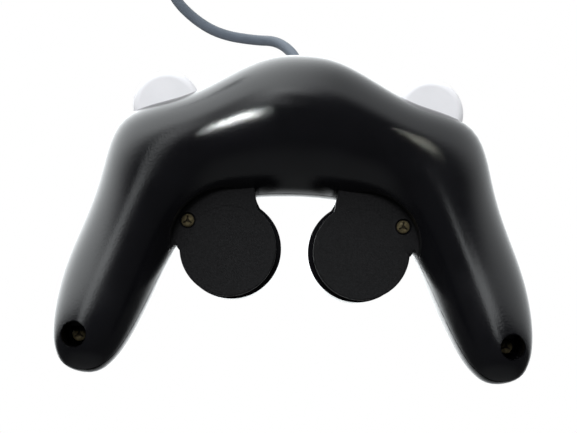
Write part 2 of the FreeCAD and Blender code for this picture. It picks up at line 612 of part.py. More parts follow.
spring_len = inner_side_y(spring_x + 2.5) - spring_seat_y - 0.1
slider_y = inner_side_y(tongue_x0) - lug_t - 0.2
slider_far_y = slider_y - 5
slider_w = 2.6
sensor_z = lug_high + 1.6     # clear of the lug, which rises as the trigger turns
right_hand = {
    "trigger": trigger_solid(),
    "trigger_pin": rod(hinge_r, V(pin_x0, hinge_y, hinge_z), V(pin_x1, hinge_y, hinge_z)),
    "trigger_spring": spring(2.2, 0.3, spring_len, 5, V(spring_x, spring_seat_y + 0.05, spring_z),
                             V(0, 1, 0)),
    "trigger_slider": fuse([
        box(lug_x, lug_x + slider_w, slider_far_y, slider_y, lug_low + 0.3, lug_high - 0.3),
        box(lug_x, lug_x + slider_w, slider_far_y, slider_y - 2.5, lug_low + 0.3, sensor_z - 0.3),
    ]),
    "trigger_sensor": box(lug_x - 1.5, lug_x + slider_w + 1.5, slider_far_y - 3, slider_y - 1, sensor_z,
                          board_z),
}
for name, shape in right_hand.items():
    export("left_" + name, shape)
    export("right_" + name, mirror(shape))

export("z_button", fuse([z_block(0, z_half, z_back, z_proud, z_high),
                         z_block(0, z_stem_half, -z_stem_reach, z_back, z_stem_high)]))
export("z_switch", z_block(0, z_switch_half, z_switch_far, z_switch_near, z_switch_high))

# Rumble motor in the back, in a saddle

shaft_end = motor_x1 + motor_shaft_len
axis_in = V(motor_x1 - 6, motor_y, motor_z)
export("rumble_motor", rod(motor_r, V(motor_x0, motor_y, motor_z), V(motor_x1, motor_y, motor_z)).cut(
    rod(motor_shaft_r + 0.05, axis_in, V(motor_x1 + 1, motor_y, motor_z))))
export("motor_shaft", rod(motor_shaft_r, axis_in + V(0.1, 0, 0), V(shaft_end, motor_y, motor_z)))
weight_x0 = motor_x1 + 1.2
weight = rod(weight_r, V(weight_x0, motor_y, motor_z), V(shaft_end - 0.4, motor_y, motor_z))
export("motor_weight", weight.cut([
    box(weight_x0 - 1, shaft_end, motor_y - 8, motor_y + 8, motor_z + 1.8, motor_z + 9),
    rod(motor_shaft_r, V(weight_x0 - 1, motor_y, motor_z), V(shaft_end, motor_y, motor_z)),
]))
saddle = box(motor_x0 + 1.5, motor_x1 - 1.5, motor_y - 8.4, motor_y + 8.4, motor_z + 1.0, 60)
saddle = saddle.common(body(wall + seat_gap))
export("motor_bracket", saddle.cut(rod(motor_r, V(motor_x0 - 1, motor_y, motor_z),
                                       V(motor_x1 + 1, motor_y, motor_z))))


# Cord: a tube of straight runs and tangent arcs, then a coil of piled turns

def tube(points, r):
    """Round tube along runs joined by tangent arcs, each as large as its two runs allow."""
    edges, at, radii = [], points[0], []
    for a, b, c in zip(points, points[1:], points[2:]):
        back, ahead = a - b, c - b
        run = 0.45 * min(back.Length, ahead.Length)
        u, w = back.normalize(), ahead.normalize()
        turn = math.pi - u.getAngle(w)
        radii.append(run / math.tan(turn / 2))
        start, end = b + u * run, b + w * run
        bisector = (u + w).normalize()
        bend = b + bisector * (math.hypot(run, radii[-1]) - radii[-1])
        edges += [Part.LineSegment(at, start).toShape(), Part.Arc(start, bend, end).toShape()]
        at = end
    edges.append(Part.LineSegment(at, points[-1]).toShape())
    return piped(edges, r, points[0], points[1] - points[0]), radii, Part.Wire(edges).Length


def piped(edges, r, start, first):
    """Pipe of radius r along edges from start, with its volume set against its length."""
    path = Part.Wire(edges)
    solid = path.makePipeShell([Part.Wire([Part.Circle(start, first, r).toShape()])], True, False)
    ratio = solid.Volume / (math.pi * r * r * path.Length)
    print(f"  path {path.Length:.1f} mm, volume over section times length {ratio:.4f}")
    return solid


export("cable_grommet", fuse([
    rod(grommet_r, V(0, exit_y - wall - grommet_flange_t, exit_z), V(0, exit_y + grommet_flange_t, exit_z)),
    rod(grommet_flange_r, V(0, exit_y, exit_z), V(0, exit_y + grommet_flange_t, exit_z)),
    rod(grommet_flange_r, V(0, exit_y - wall - grommet_flange_t, exit_z), V(0, exit_y - wall, exit_z)),
]).cut(rod(1.2, V(0, exit_y - 9, exit_z), V(0, exit_y - 1, exit_z))))
connector_y, connector_z = exit_y - 11.5, exit_z + 9.5
wire_path = [V(0, exit_y - 1, exit_z), V(0, connector_y, exit_z), V(0, connector_y, connector_z)]
wires, _, _ = tube(wire_path, 1.15)
export("cable_wires", wires)
export("cable_connector", box(-5, 5, connector_y - 2.5, connector_y + 2.5, connector_z, board_z))

route = [V(*p) for p in cord_route]
cord, radii, free_len = tube(route, cord_d / 2)
print("  cord radii", " ".join(f"{r:.1f}" for r in radii))
export("cord", cord)


def bent(p, along, q):
    """Arc from p, leaving in the direction along, to q."""
    chord = q - p
    straight = V(chord).normalize()
    side = along - straight * along.dot(straight)
    if side.Length < 1e-6:
        return Part.LineSegment(p, q).toShape()
    sagitta = chord.Length / 2 * math.tan(along.getAngle(straight) / 2)
    return Part.Arc(p, p + chord * 0.5 + side.normalize() * sagitta, q).toShape()


def biarc(p, t, q, u):
    """Two tangent arcs from p, leaving along t, to q, arriving along u."""
    v, s = q - p, t + u
    a, b, c = 2 * (t.dot(u) - 1), -2 * v.dot(s), v.dot(v)
    d = -c / b if abs(a) < 1e-9 else (-b - math.sqrt(b * b - 4 * a * c)) / (2 * a)
    joint = (p + q + (t - u) * d) * 0.5
    back = bent(q, -u, joint)
    return [bent(p, t, joint), back]


def least_gap(path, diameter):
    """Least clearance of a wound tube to itself, measured on points along its middle line."""
    step = diameter / 2
    points = [(p.x, p.y, p.z) for p in path.discretize(Distance=step)]
    apart, best = 8, 1e9
    for i, (x, y, z) in enumerate(points):
        for X, Y, Z in points[i + apart:]:
            if abs(z - Z) < best and abs(x - X) < best:
                best = min(best, math.sqrt((x - X) ** 2 + (y - Y) ** 2 + (z - Z) ** 2))
    return best - diameter


def around(angle, r, z, inward, rise):
    """Point of the coil and the clockwise direction there, turned inwards and upwards by slopes."""
    out = V(math.cos(angle), math.sin(angle), 0)
    clockwise = V(math.sin(angle), -math.cos(angle), 0)
    return coil_centre + out * r + UP * z, (clockwise - out * inward + UP * rise).normalize()


# The coil's turns spiral in and out by turns, and climb a layer in the half turn round each reversal
heading = (route[-1] - route[-2]).normalize()
coil_turns = (cord_len - free_len - coil_lead) / (2 * math.pi * coil_mean_r)
layer_turns = coil_turns / coil_layers
quarters = round(4 * layer_turns)
step = 2 * math.pi * layer_turns / quarters
coil_out_r = coil_mean_r + coil_pitch * layer_turns / 2
coil_in_r = coil_mean_r - coil_pitch * layer_turns / 2
coil_start = route[-1] + heading * cord_d
coil_centre = V(coil_start.x + heading.y * coil_out_r, coil_start.y - heading.x * coil_out_r, 0)
start_angle = math.atan2(coil_start.y - coil_centre.y, coil_start.x - coil_centre.x)
nodes = []
last = coil_layers * quarters
for i in range(last + 1):
    layer, part = divmod(i, quarters)
    drawn_in = part / quarters if layer % 2 == 0 else 1 - part / quarters
    r = coil_out_r - (coil_out_r - coil_in_r) * drawn_in
    turning = part == 0 and 0 < i < last
    z = cord_z + coil_pitch * (min(layer, coil_layers - 1) - (0.5 if turning else 0))
    spiral = coil_pitch / (2 * math.pi * r) * (1 if layer % 2 == 0 else -1)
    nodes.append(around(start_angle - i * step, r, z, 0 if part == 0 else spiral,
                        coil_pitch / (r * step) if turning else 0))
end_angle = start_angle - last * step
plug_z = cord_z + coil_pitch * (coil_layers - 1) + cord_d / 2 + seat_gap + plug_h / 2
rise = plug_z - nodes[-1][0].z
nodes.append(around(end_angle - math.radians(90), coil_out_r + 0.3, plug_z - 0.55 * rise, 0, 0.1))
nodes.append(around(end_angle - math.radians(150), 17.0, plug_z, math.tan(math.radians(35)), 0))
coil_edges = [Part.LineSegment(route[-1], coil_start).toShape()]
for (p, t), (q, u) in zip(nodes, nodes[1:]):
    coil_edges += biarc(p, t, q, u)
plug_at = nodes[-1][0] + nodes[-1][1] * cord_d
coil_edges.append(Part.LineSegment(nodes[-1][0], plug_at).toShape())
coil = piped(coil_edges, cord_d / 2, route[-1], heading)
coil_len = Part.Wire(coil_edges).Length
print(f"  coil {coil_turns:.2f} turns, {2 * (coil_out_r + cord_d / 2):.1f} mm across, radii "
      f"{coil_in_r:.1f} to {coil_out_r:.1f}, least gap {least_gap(Part.Wire(coil_edges), cord_d):.2f}")
print(f"  cord {free_len + coil_len:.0f} mm in all")
export("cord_coil", coil)

# Plug at the cord's end, lying on the coil: boot and body, metal shroud, contacts on their tongue

boot_len = 6.0
body_end = boot_len + plug_len
grip_box = box(boot_len, body_end, -plug_w / 2, plug_w / 2, -plug_h / 2, plug_h / 2)
grip_box = grip_box.makeFillet(2.0, [e for e in grip_box.Edges if e.BoundBox.XLength > 1])
boot = Part.makeCone(cord_d / 2 + 0.9, cord_d / 2 + 2.2, boot_len, V(0, 0, 0), V(1, 0, 0))
shroud_wall, tongue_t = 0.8, 2.4
shroud_end = body_end + shroud_len
shroud = box(body_end, shroud_end, -shroud_w / 2, shroud_w / 2, -shroud_h / 2, shroud_h / 2)
hollow_w, hollow_h = shroud_w / 2 - shroud_wall, shroud_h / 2 - shroud_wall
hollow = box(body_end + 2, shroud_end + 1, -hollow_w, hollow_w, -hollow_h, hollow_h)
tongue_w = hollow_w - 1.2
tongue = box(body_end + 1, shroud_end - 1, -tongue_w, tongue_w, -tongue_t / 2, tongue_t / 2)
contact_pitch = 2 * tongue_w / 3
contacts = [box(body_end + 2.5, shroud_end - 2, y - 0.6, y + 0.6, z, z + 0.3)
            for y in (-contact_pitch, 0, contact_pitch) for z in (tongue_t / 2, -tongue_t / 2 - 0.3)]
plug_heading = math.degrees(math.atan2(nodes[-1][1].y, nodes[-1][1].x))


def on_coil(shape):
    shape.rotate(V(0, 0, 0), UP, plug_heading)
    shape.translate(plug_at)
    return shape


export("plug_body", on_coil(fuse([boot, grip_box])))
export("plug_shroud", on_coil(shroud.cut(hollow).fuse(tongue).removeSplitter()))
export("plug_contacts", [on_coil(c) for c in contacts])
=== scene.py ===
import json
import math
import bmesh
import bpy
import numpy as np
from mathutils import Matrix, Vector


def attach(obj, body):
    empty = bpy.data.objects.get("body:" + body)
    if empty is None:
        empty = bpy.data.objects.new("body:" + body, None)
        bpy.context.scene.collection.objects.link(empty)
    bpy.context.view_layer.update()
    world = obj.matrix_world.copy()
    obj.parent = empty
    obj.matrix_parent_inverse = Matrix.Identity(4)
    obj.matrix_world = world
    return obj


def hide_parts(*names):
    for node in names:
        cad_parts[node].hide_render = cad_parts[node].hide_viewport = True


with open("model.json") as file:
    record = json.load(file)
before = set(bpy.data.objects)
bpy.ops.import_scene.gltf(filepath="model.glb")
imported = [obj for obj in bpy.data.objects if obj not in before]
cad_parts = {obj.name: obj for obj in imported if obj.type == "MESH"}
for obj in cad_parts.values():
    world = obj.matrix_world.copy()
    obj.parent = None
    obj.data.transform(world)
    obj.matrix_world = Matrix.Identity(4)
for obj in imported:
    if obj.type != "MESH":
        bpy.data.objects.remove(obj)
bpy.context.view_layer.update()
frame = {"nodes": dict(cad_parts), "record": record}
nodes = frame["nodes"]
scene = bpy.context.scene
MM = 0.001
UP = Vector((0, 0, 1))

# Camera: tilts of the view from straight down, roll, and where the frame's axis falls in the picture
photo_w, photo_h = 577, 433
view_distance, view_height = 0.450, 0.030
tilt_x, tilt_y, roll = -0.93, 4.82, 1.72
centre_px = (295.6, 213.3)
focal_px = 1369.5


def collection_link(obj):
    scene.collection.objects.link(obj)
    return obj


def make_camera():
    data = bpy.data.cameras.new("camera")
    data.sensor_width = 36
    data.lens = focal_px / photo_w * data.sensor_width
    data.shift_x = (photo_w / 2 - centre_px[0]) / photo_w
    data.shift_y = (centre_px[1] - photo_h / 2) / photo_w
    data.clip_start, data.clip_end = 0.01, 20
    back = Vector((math.tan(math.radians(tilt_x)), -math.tan(math.radians(tilt_y)), 1)).normalized()
    right = (-back).cross(Vector((0, 1, 0))).normalized()
    upward = right.cross(-back)
    turn = math.radians(roll)
    across = right * math.cos(turn) + upward * math.sin(turn)
    above = upward * math.cos(turn) - right * math.sin(turn)
    place = Vector((0, 0, view_height)) + back * (view_distance - view_height)
    cam = collection_link(bpy.data.objects.new("camera", data))
    cam.matrix_world = Matrix((across, above, back)).transposed().to_4x4()
    cam.location = place
    scene.camera = cam


make_camera()


# Materials
range_sockets = ("From Min", "From Max", "To Min", "To Max")


def principled(name, colour, roughness, **inputs):
    mat = bpy.data.materials.new(name)
    mat.use_nodes = True
    shader = mat.node_tree.nodes["Principled BSDF"]
    shader.inputs["Base Color"].default_value = (*colour, 1)
    shader.inputs["Roughness"].default_value = roughness
    for key, value in inputs.items():
        shader.inputs[key.replace("_", " ").title().replace("Ior", "IOR")].default_value = value
    return mat


def textured(name, colour, roughness, grain, height, patch=9.0, tone=0.08, rough=0.04,
             stretch=None, **inputs):
    """Finish with grain of that size and height in mm; its tone and roughness vary in patches."""
    mat = principled(name, colour, roughness, **inputs)
    tree = mat.node_tree
    shader = tree.nodes["Principled BSDF"]
    place = tree.nodes.new("ShaderNodeTexCoord").outputs["Object"]
    if stretch:
        mapping = tree.nodes.new("ShaderNodeMapping")
        mapping.inputs["Scale"].default_value = stretch
        tree.links.new(place, mapping.inputs["Vector"])
        place = mapping.outputs["Vector"]

    def noise(size, detail):
        node = tree.nodes.new("ShaderNodeTexNoise")
        node.inputs["Scale"].default_value = 1 / (size * MM)
        node.inputs["Detail"].default_value = detail
        tree.links.new(place, node.inputs["Vector"])
        return node.outputs["Fac"]

    bump = tree.nodes.new("ShaderNodeBump")
    bump.inputs["Distance"].default_value = height * MM
    tree.links.new(noise(grain, 2), bump.inputs["Height"])
    tree.links.new(bump.outputs["Normal"], shader.inputs["Normal"])
    patches = noise(patch, 4)
    span = tree.nodes.new("ShaderNodeMapRange")
    for key, value in zip(range_sockets, (0.25, 0.75, roughness - rough, roughness + rough)):
        span.inputs[key].default_value = value
    tree.links.new(patches, span.inputs["Value"])
    tree.links.new(span.outputs["Result"], shader.inputs["Roughness"])
    ramp = tree.nodes.new("ShaderNodeValToRGB")
    for stop, at, change in zip(ramp.color_ramp.elements, (0.3, 0.7), (1 - tone, 1 + tone)):
        stop.position = at
        stop.color = (*(min(1, c * change) for c in colour), 1)
    tree.links.new(patches, ramp.inputs["Fac"])
    tree.links.new(ramp.outputs["Color"], shader.inputs["Base Color"])
    return mat


shell_mat = textured("shell_black", (0.004, 0.004, 0.005), 0.18, 0.50, 0.042, patch=12, tone=0.15)
plate_mat = textured("plate_black", (0.0105, 0.0105, 0.0112), 0.58, 0.45, 0.045, patch=0.6, tone=0.35,
                     specular_ior_level=0.35)
looks = {
    "shell": shell_mat,
    "screw": textured("yellow_zinc", (0.15, 0.125, 0.07), 0.40, 0.15, 0.012, patch=0.7, tone=0.45,
                      rough=0.12, metallic=0.5),
    # the drive recess's walls are painted near black: painted shade in the hollow of the drive
    "drive": textured("drive_painted_shade", (0.02, 0.016, 0.01), 0.55, 0.15, 0.012, patch=0.7,
                      tone=0.4),
    "green_button": textured("button_green", (0.02, 0.32, 0.22), 0.20, 0.5, 0.002, tone=0.05),
    "red_button": textured("button_red", (0.62, 0.03, 0.03), 0.20, 0.5, 0.002, tone=0.05),
    "grey_button": textured("button_grey", (0.45, 0.45, 0.47), 0.30, 0.4, 0.004, tone=0.05),
    "indigo_button": textured("button_indigo", (0.10, 0.07, 0.32), 0.25, 0.4, 0.003, tone=0.06),
    "stick_grey": textured("stick_grey", (0.30, 0.30, 0.31), 0.62, 0.18, 0.012, patch=4, tone=0.10),
    "stick_yellow": textured("stick_yellow", (0.85, 0.60, 0.04), 0.60, 0.18, 0.012, patch=4, tone=0.08),
    "trigger_grey": textured("trigger_grey", (0.80, 0.80, 0.83), 0.45, 0.35, 0.008, tone=0.03),
    "silicone": textured("silicone", (0.35, 0.36, 0.38), 0.60, 0.3, 0.006, patch=5),
    "board": textured("board_green", (0.05, 0.20, 0.10), 0.35, 0.9, 0.03, patch=1.6, tone=0.35,
                      rough=0.08),
    "chip": textured("chip_black", (0.02, 0.02, 0.02), 0.50, 0.12, 0.006, patch=3, tone=0.2),
    "white_plastic": textured("acetal_white", (0.75, 0.74, 0.70), 0.40, 0.3, 0.003, tone=0.04),
    "sensor_blue": textured("sensor_blue", (0.12, 0.22, 0.45), 0.45, 0.25, 0.005, patch=3),
    "steel": textured("steel", (0.55, 0.56, 0.58), 0.30, 0.25, 0.004, patch=2.5, tone=0.12, rough=0.08,
                      stretch=(1, 1, 0.2), metallic=1.0),
    "weight_steel": textured("weight_steel", (0.40, 0.38, 0.35), 0.50, 0.2, 0.015, patch=1.5,
                             tone=0.2, rough=0.1, metallic=1.0),
    "motor_can": textured("motor_can", (0.60, 0.60, 0.62), 0.30, 0.3, 0.004, patch=3, tone=0.1,
                          rough=0.08, stretch=(4, 0.5, 0.5), metallic=1.0),
    "bracket_rubber": textured("bracket_rubber", (0.05, 0.05, 0.05), 0.70, 0.25, 0.015, patch=4,
                               tone=0.15),
    "cord": textured("cord_blue_grey", (0.135, 0.16, 0.195), 0.50, 0.45, 0.015, patch=5, tone=0.08),
    "plug": textured("plug_dark", (0.05, 0.055, 0.075), 0.45, 0.3, 0.010, patch=6, tone=0.12),
    "shroud": textured("shroud_grey", (0.20, 0.20, 0.22), 0.40, 0.3, 0.006, patch=4),
    "contact": textured("contact_gold", (0.80, 0.62, 0.25), 0.30, 0.2, 0.004, patch=1.2,
                        tone=0.12, rough=0.08, metallic=1.0),
    "connector": textured("connector_white", (0.80, 0.79, 0.74), 0.40, 0.3, 0.004, tone=0.04),
}
for part in frame["record"]["subparts"]:
    node = nodes[part["node"]]
    node.data.materials.clear()
    node.data.materials.append(looks[part["material_slot"]])


# Mesh helpers: solids in millimetres, closed, joined and cut as exact volumes

def closed(verts, faces, mat):
    """Mesh of a closed solid, with its faces turned outwards."""
    mesh = bpy.data.meshes.new("solid")
    mesh.from_pydata(verts, [], faces)
    mesh.materials.append(mat)
    bm = bmesh.new()
    bm.from_mesh(mesh)
    if bm.calc_volume(signed=True) < 0:
        bmesh.ops.reverse_faces(bm, faces=bm.faces)
    bm.to_mesh(mesh)
    bm.free()
    return mesh


def loft(loops, mat):
    """Solid through loops of equal counts; a loop of one point closes its end."""
    verts, at = [], []
    for loop in loops:
        at.append(list(range(len(verts), len(verts) + len(loop))))
        verts += loop
    faces = []
    for a, b in zip(at, at[1:]):
        n = max(len(a), len(b))
        for i in range(n):
            ring = [a[i % len(a)], a[(i + 1) % len(a)], b[(i + 1) % len(b)], b[i % len(b)]]
            faces.append(list(dict.fromkeys(ring)))
    faces += [ring for ring in (at[0][::-1], at[-1]) if len(ring) > 2]
    return closed(verts, faces, mat)


def join(how, base, *tools):
    """base with each of tools joined to it, cut from it or kept in common with it."""
    holder = collection_link(bpy.data.objects.new("base", base))
    others = [collection_link(bpy.data.objects.new("tool", tool)) for tool in tools]
    for other in others:
        step = holder.modifiers.new("step", "BOOLEAN")
        step.operation = how
        step.solver = "MANIFOLD"
        step.material_mode = "TRANSFER"
        step.object = other
    graph = bpy.context.evaluated_depsgraph_get()
    result = bpy.data.meshes.new_from_object(holder.evaluated_get(graph))
    for obj in [holder] + others:
        bpy.data.objects.remove(obj)
    return result


def union(base, *tools):
    return join("UNION", base, *tools)


def cut(base, *tools):
    return join("DIFFERENCE", base, *tools)


def common(base, *tools):
    return join("INTERSECT", base, *tools)


def circle(x, y, r, count=96):
    angles = [2 * math.pi * i / count for i in range(count)]
    return [(x + r * math.cos(a), y + r * math.sin(a)) for a in angles]


def drawn_in(outline, inset):
    """Outline with every side moved inwards; it runs counter-clockwise."""
    result = []
    n = len(outline)
    for i, p in enumerate(outline):
        before, after = outline[i - 1], outline[(i + 1) % n]
        a = Vector((p[0] - before[0], p[1] - before[1])).normalized()
        b = Vector((after[0] - p[0], after[1] - p[1])).normalized()
        normal = Vector((-a.y - b.y, a.x + b.x)).normalized()
        scale = inset / max(0.5, normal.dot(Vector((-a.y, a.x))))
        result.append((p[0] + normal.x * scale, p[1] + normal.y * scale))
    return result


def stacked(outline, levels, mat):
    """Solid with that outline drawn in by (inset, z) levels."""
    return loft([[(x, y, z) for x, y in (drawn_in(outline, inset) if inset else outline)]
                 for inset, z in levels], mat)


def slab(outline, z0, z1, mat, low=0.0, high=0.0, steps=4):
    """Solid with that outline between two heights, its lower and upper edges rounded by those radii."""
    rim = 0.06
    angles = [math.pi / 2 * i / steps for i in range(steps + 1)]
    below = [(low * (1 - math.cos(a)), z0 + low * (1 - math.sin(a))) for a in reversed(angles)]
    above = [(high * (1 - math.cos(a)), z1 - high * (1 - math.sin(a))) for a in angles]
    levels = [(low + rim, z0)] + below if low else [(0, z0)]
    levels += above + [(high + rim, z1)] if high else [(0, z1)]
    return stacked(outline, levels, mat)


def cyl(r, x, y, z0, z1, mat=None):
    return slab(circle(x, y, r), z0, z1, mat or shell_mat)


def lathe(profile, x, y, mat, count=96):
    """Solid of revolution from (radius, z) points, first and last on the axis."""
    loops = []
    for r, z in profile:
        loops.append([(px, py, z) for px, py in circle(x, y, r, count)] if r else [(x, y, z)])
    return loft(loops, mat)


def block(x0, x1, y0, y1, z0, z1, mat=None):
    return slab([(x0, y0), (x1, y0), (x1, y1), (x0, y1)], z0, z1, mat or shell_mat)


def turned(mesh, turn, move=(0, 0, 0)):
    """Mesh turned by a rotation matrix or left as it is, then moved."""
    mesh.transform(Matrix.Translation(move) @ turn.to_4x4())
    return mesh


def rod(r, start, end, mat=None):
    axis = Vector(end) - Vector(start)
    return turned(slab(circle(0, 0, r), 0, axis.length, mat or shell_mat),
                  axis.to_track_quat("Z", "Y").to_matrix(), start)


def mirrored(mesh):
    """Copy of the mesh on the other side of the middle plane."""
    other = mesh.copy()
    other.transform(Matrix.Scale(-1, 4, (1, 0, 0)))
    other.flip_normals()
    return other


def both(mesh):
    return [mesh, mirrored(mesh)]


def softened(points, radius, steps=5):
    """Outline whose corners are rounded by tangent curves that take radius of each side."""
    result = []
    n = len(points)
    for i, p in enumerate(points):
        corner = Vector(p)
        before, after = Vector(points[i - 1]) - corner, Vector(points[(i + 1) % n]) - corner
        reach = min(radius, before.length * 0.45, after.length * 0.45)
        if before.angle(after) > math.radians(165):
            result.append(tuple(corner))
            continue
        a, b = corner + before.normalized() * reach, corner + after.normalized() * reach
        for k in range(steps + 1):
            t = k / steps
            result.append(tuple(a * (1 - t) ** 2 + corner * 2 * t * (1 - t) + b * t ** 2))
    return result


def piece(name, mesh, body, *replaced, slot="shell", sharp=28):
    """Finished piece in metres that rides on a body in place of CAD nodes."""
    mesh.transform(Matrix.Scale(MM, 4))
    mesh.name = name
    mesh.shade_smooth()
    mesh.set_sharp_from_angle(angle=math.radians(sharp))
    obj = collection_link(bpy.data.objects.new(name, mesh))
    if replaced:
        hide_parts(*replaced)
    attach(obj, body)
    return obj


# The casing's skin: sections from the middle to one grip's end, each with its place, heading, half
# widths outwards and inwards, and heights of the back, the face and the widest line
wall, seam_z, parting_gap = 2.2, 29.0, 0.3
crown_power, face_power, ring_points = 2.2, 3.4, 24
edge_r, edge_step, above_all = 0.45, 0.28, 80
middle_section = (0, 27.7, 0, 22.2, 22.0, 50.6, 9.0, 25.0)
grip_sections = [
    (10.0, 26.9, 3, 22.2, 21.5, 50.2, 9.0, 25.0), (19.5, 24.0, 12, 18.6, 19.8, 49.2, 9.0, 25.0),
    (29.0, 20.0, 27, 16.0, 17.8, 48.4, 9.0, 25.0), (38.0, 13.5, 48, 25.8, 16.4, 48.6, 9.0, 25.5),
    (44.5, 3.5, 67, 16.9, 14.2, 50.4, 9.6, 27.0), (49.0, -7.5, 75, 15.6, 13.2, 53.2, 12.5, 30.0),
    (52.8, -17.0, 76, 15.0, 13.2, 56.6, 18.0, 35.0), (56.0, -26.0, 76, 13.6, 13.2, 60.6, 25.0, 41.0),
    (58.4, -34.5, 76, 11.6, 12.2, 64.2, 32.5, 47.0), (59.6, -41.0, 77, 9.8, 10.4, 65.6, 38.5, 51.0),
    (60.4, -45.5, 78, 7.6, 8.1, 64.0, 42.8, 53.0), (60.9, -49.1, 78, 4.4, 4.6, 60.0, 47.4, 53.7),
]


def section_ring(section, inset, side):
    """Points round one section, drawn in by inset, on that side of the middle."""
    x, y, heading, outwards, inwards, back, face, mid = section
    turn = math.radians(heading)
    ring = []
    for k in range(ring_points):
        a = 2 * math.pi * k / ring_points
        c, up = math.cos(a), math.sin(a)
        power = 2 / (crown_power if up >= 0 else face_power)
        h = ((outwards if c >= 0 else inwards) - inset) * math.copysign(abs(c) ** power, c)
        v = ((back - mid if up >= 0 else mid - face) - inset) * math.copysign(abs(up) ** power, up)
        ring.append((side * (x + math.sin(turn) * h), y + math.cos(turn) * h, mid + v))
    return ring


def cubic_weights(knots, t, span):
    """Values of the four cubic splines that reach t, which lies in that span of the knots."""
    weights = [1.0]
    for degree in range(1, 4):
        grown = [0.0] * (degree + 1)
        for r, w in enumerate(weights):
            left, right = knots[span + 1 + r - degree], knots[span + 1 + r]
            grown[r] += w * (right - t) / (right - left)
            grown[r + 1] += w * (t - left) / (right - left)
        weights = grown
    return weights


def body(inset, per_row=6, per_point=5):
    """The horseshoe from one grip's end to the other as one smooth skin, drawn in by inset."""
    cap = list(grip_sections[-1])
    cap[1] += inset
    stations = grip_sections[:-1] + [cap]
    rows = [[(-cap[0], cap[1], cap[7])] * ring_points]
    rows += [section_ring(s, inset, -1) for s in reversed(stations)]
    rows += [section_ring(middle_section, inset, 1)]
    rows += [section_ring(s, inset, 1) for s in stations]
    rows += [[(cap[0], cap[1], cap[7])] * ring_points]
    spans = len(rows) - 3
    knots = [0] * 3 + list(range(spans + 1)) + [spans] * 3
    along = np.zeros((spans * per_row + 1, len(rows)))
    for i in range(len(along)):
        t = i / per_row
        s = min(int(t), spans - 1)
        along[i, s:s + 4] = cubic_weights(knots, t, s + 3)
    endless = list(range(-3, 5))
    about = np.zeros((ring_points * per_point, ring_points))
    for i in range(len(about)):
        s, u = divmod(i / per_point, 1)
        for k, w in enumerate(cubic_weights(endless, u, 3)):
            about[i, (int(s) + k) % ring_points] += w
    grid = np.einsum("ui,ijc,vj->uvc", along, np.array(rows), about)
    loops = [[tuple(p) for p in ring] for ring in grid[1:-1].tolist()]
    return loft([[tuple(grid[0, 0].tolist())]] + loops + [[tuple(grid[-1, 0].tolist())]], shell_mat)


pod_x, pod_y, pod_front_r, pod_back_r, pod_lean = 19.3, -11.5, 15.2, 14.6, 0.9
pod_face_z, pod_back_z = 12.5, 36.0
recess_r, recess_shift = 17.0, 1.2
arch_x, arch_y, neck_drop, neck_reach = 12.6, 6.1, 2.5, 12.5
neck_top, neck_foot, neck_lean, neck_round = 1.4, -0.4, 1.6, 1.2
web_x, web_y, web_foot, web_reach = 17.9, 2.2, (15.7, -1.0), 4


def pod_outline(x, r, inset):
    """Plan of the pod on the +X side with its neck and web, from the arch round the disc to the grip."""
    first = math.atan2(arch_y - 2 * neck_drop - pod_y, arch_x - neck_lean + inset - x)
    foot = (pod_x + web_foot[0] - inset, pod_y + web_foot[1] + inset)
    corner = (pod_x + web_x - inset, pod_y + web_y + inset)
    top = (pod_x + web_x + web_reach, neck_reach)
    last = 2 * math.pi + math.atan2(foot[1] - pod_y, foot[0] - x)
    while x + r * math.cos(last) > foot[0]:
        last -= 0.01
    count = 80
    arc = [(x + r * math.cos(a), pod_y + r * math.sin(a))
           for a in (first + (last - first) * i / count for i in range(count + 1))]
    neck = [(arch_x + neck_top + inset, neck_reach), (arch_x + inset, arch_y + inset),
            (arch_x + neck_foot + inset, arch_y - neck_drop)]
    return softened(neck + arc + [foot, corner, top], neck_round)


def pods(inset, z0, z1, back, edge=0.0):
    """Both pods' back or front part, with a rounded edge at its outer end."""
    x, r = (pod_x + pod_lean, pod_back_r) if back else (pod_x, pod_front_r)
    outline = pod_outline(x, r - inset, inset)
    if back:
        return both(slab(outline, z0, z1, plate_mat, high=edge))
    return both(slab(outline, z0, z1, shell_mat, low=edge))


def recesses(grow, z):
    """Room over both plates, cut into the skin from z up."""
    x, y = pod_x + recess_shift, pod_y + recess_shift
    return both(slab(circle(x, y, recess_r + grow, 144), z, above_all, plate_mat))


def casing(inset, join_z, edge=0.0):
    """The whole casing drawn in by inset; the pods' front rings end at join_z."""
    form = union(body(inset), *pods(inset, pod_face_z + inset, join_z, False, edge))
    form = union(form, *pods(inset, seam_z, pod_back_z - inset, True, edge))
    return cut(form, *recesses(inset, pod_back_z - inset))


seam_turn_y, seam_slope, seam_blend, seam_lap = -8.5, 0.764, 20.0, 0.4


def front_zone(gap, reach=90.0):
    """Everything on the face side of the parting line, raised by gap."""
    low, steps = -reach, 12
    slope = math.atan(seam_slope)
    run = seam_blend * math.tan(slope / 2)
    z = seam_z + gap
    line = [(reach, z)]
    for i in range(steps + 1):
        a = slope * i / steps
        line.append((seam_turn_y + run - seam_blend * math.sin(a), z + seam_blend * (1 - math.cos(a))))
    end_y, end_z = line[-1]
    line += [(-reach, end_z + seam_slope * (end_y + reach)), (-reach, low), (reach, low)]
    zone = loft([[(x, y, high) for y, high in line] for x in (-reach, reach)], plate_mat)
    pods_x = pod_x + recess_r - seam_lap
    return cut(zone, block(-pods_x, pods_x, -reach, pod_y + 2, z, z + reach))


def octagon(r, x, y):
    reach = r / math.cos(math.pi / 8)
    return [(x + reach * math.cos(a), y + reach * math.sin(a))
            for a in (math.pi / 8 + k * math.pi / 4 for k in range(8))]


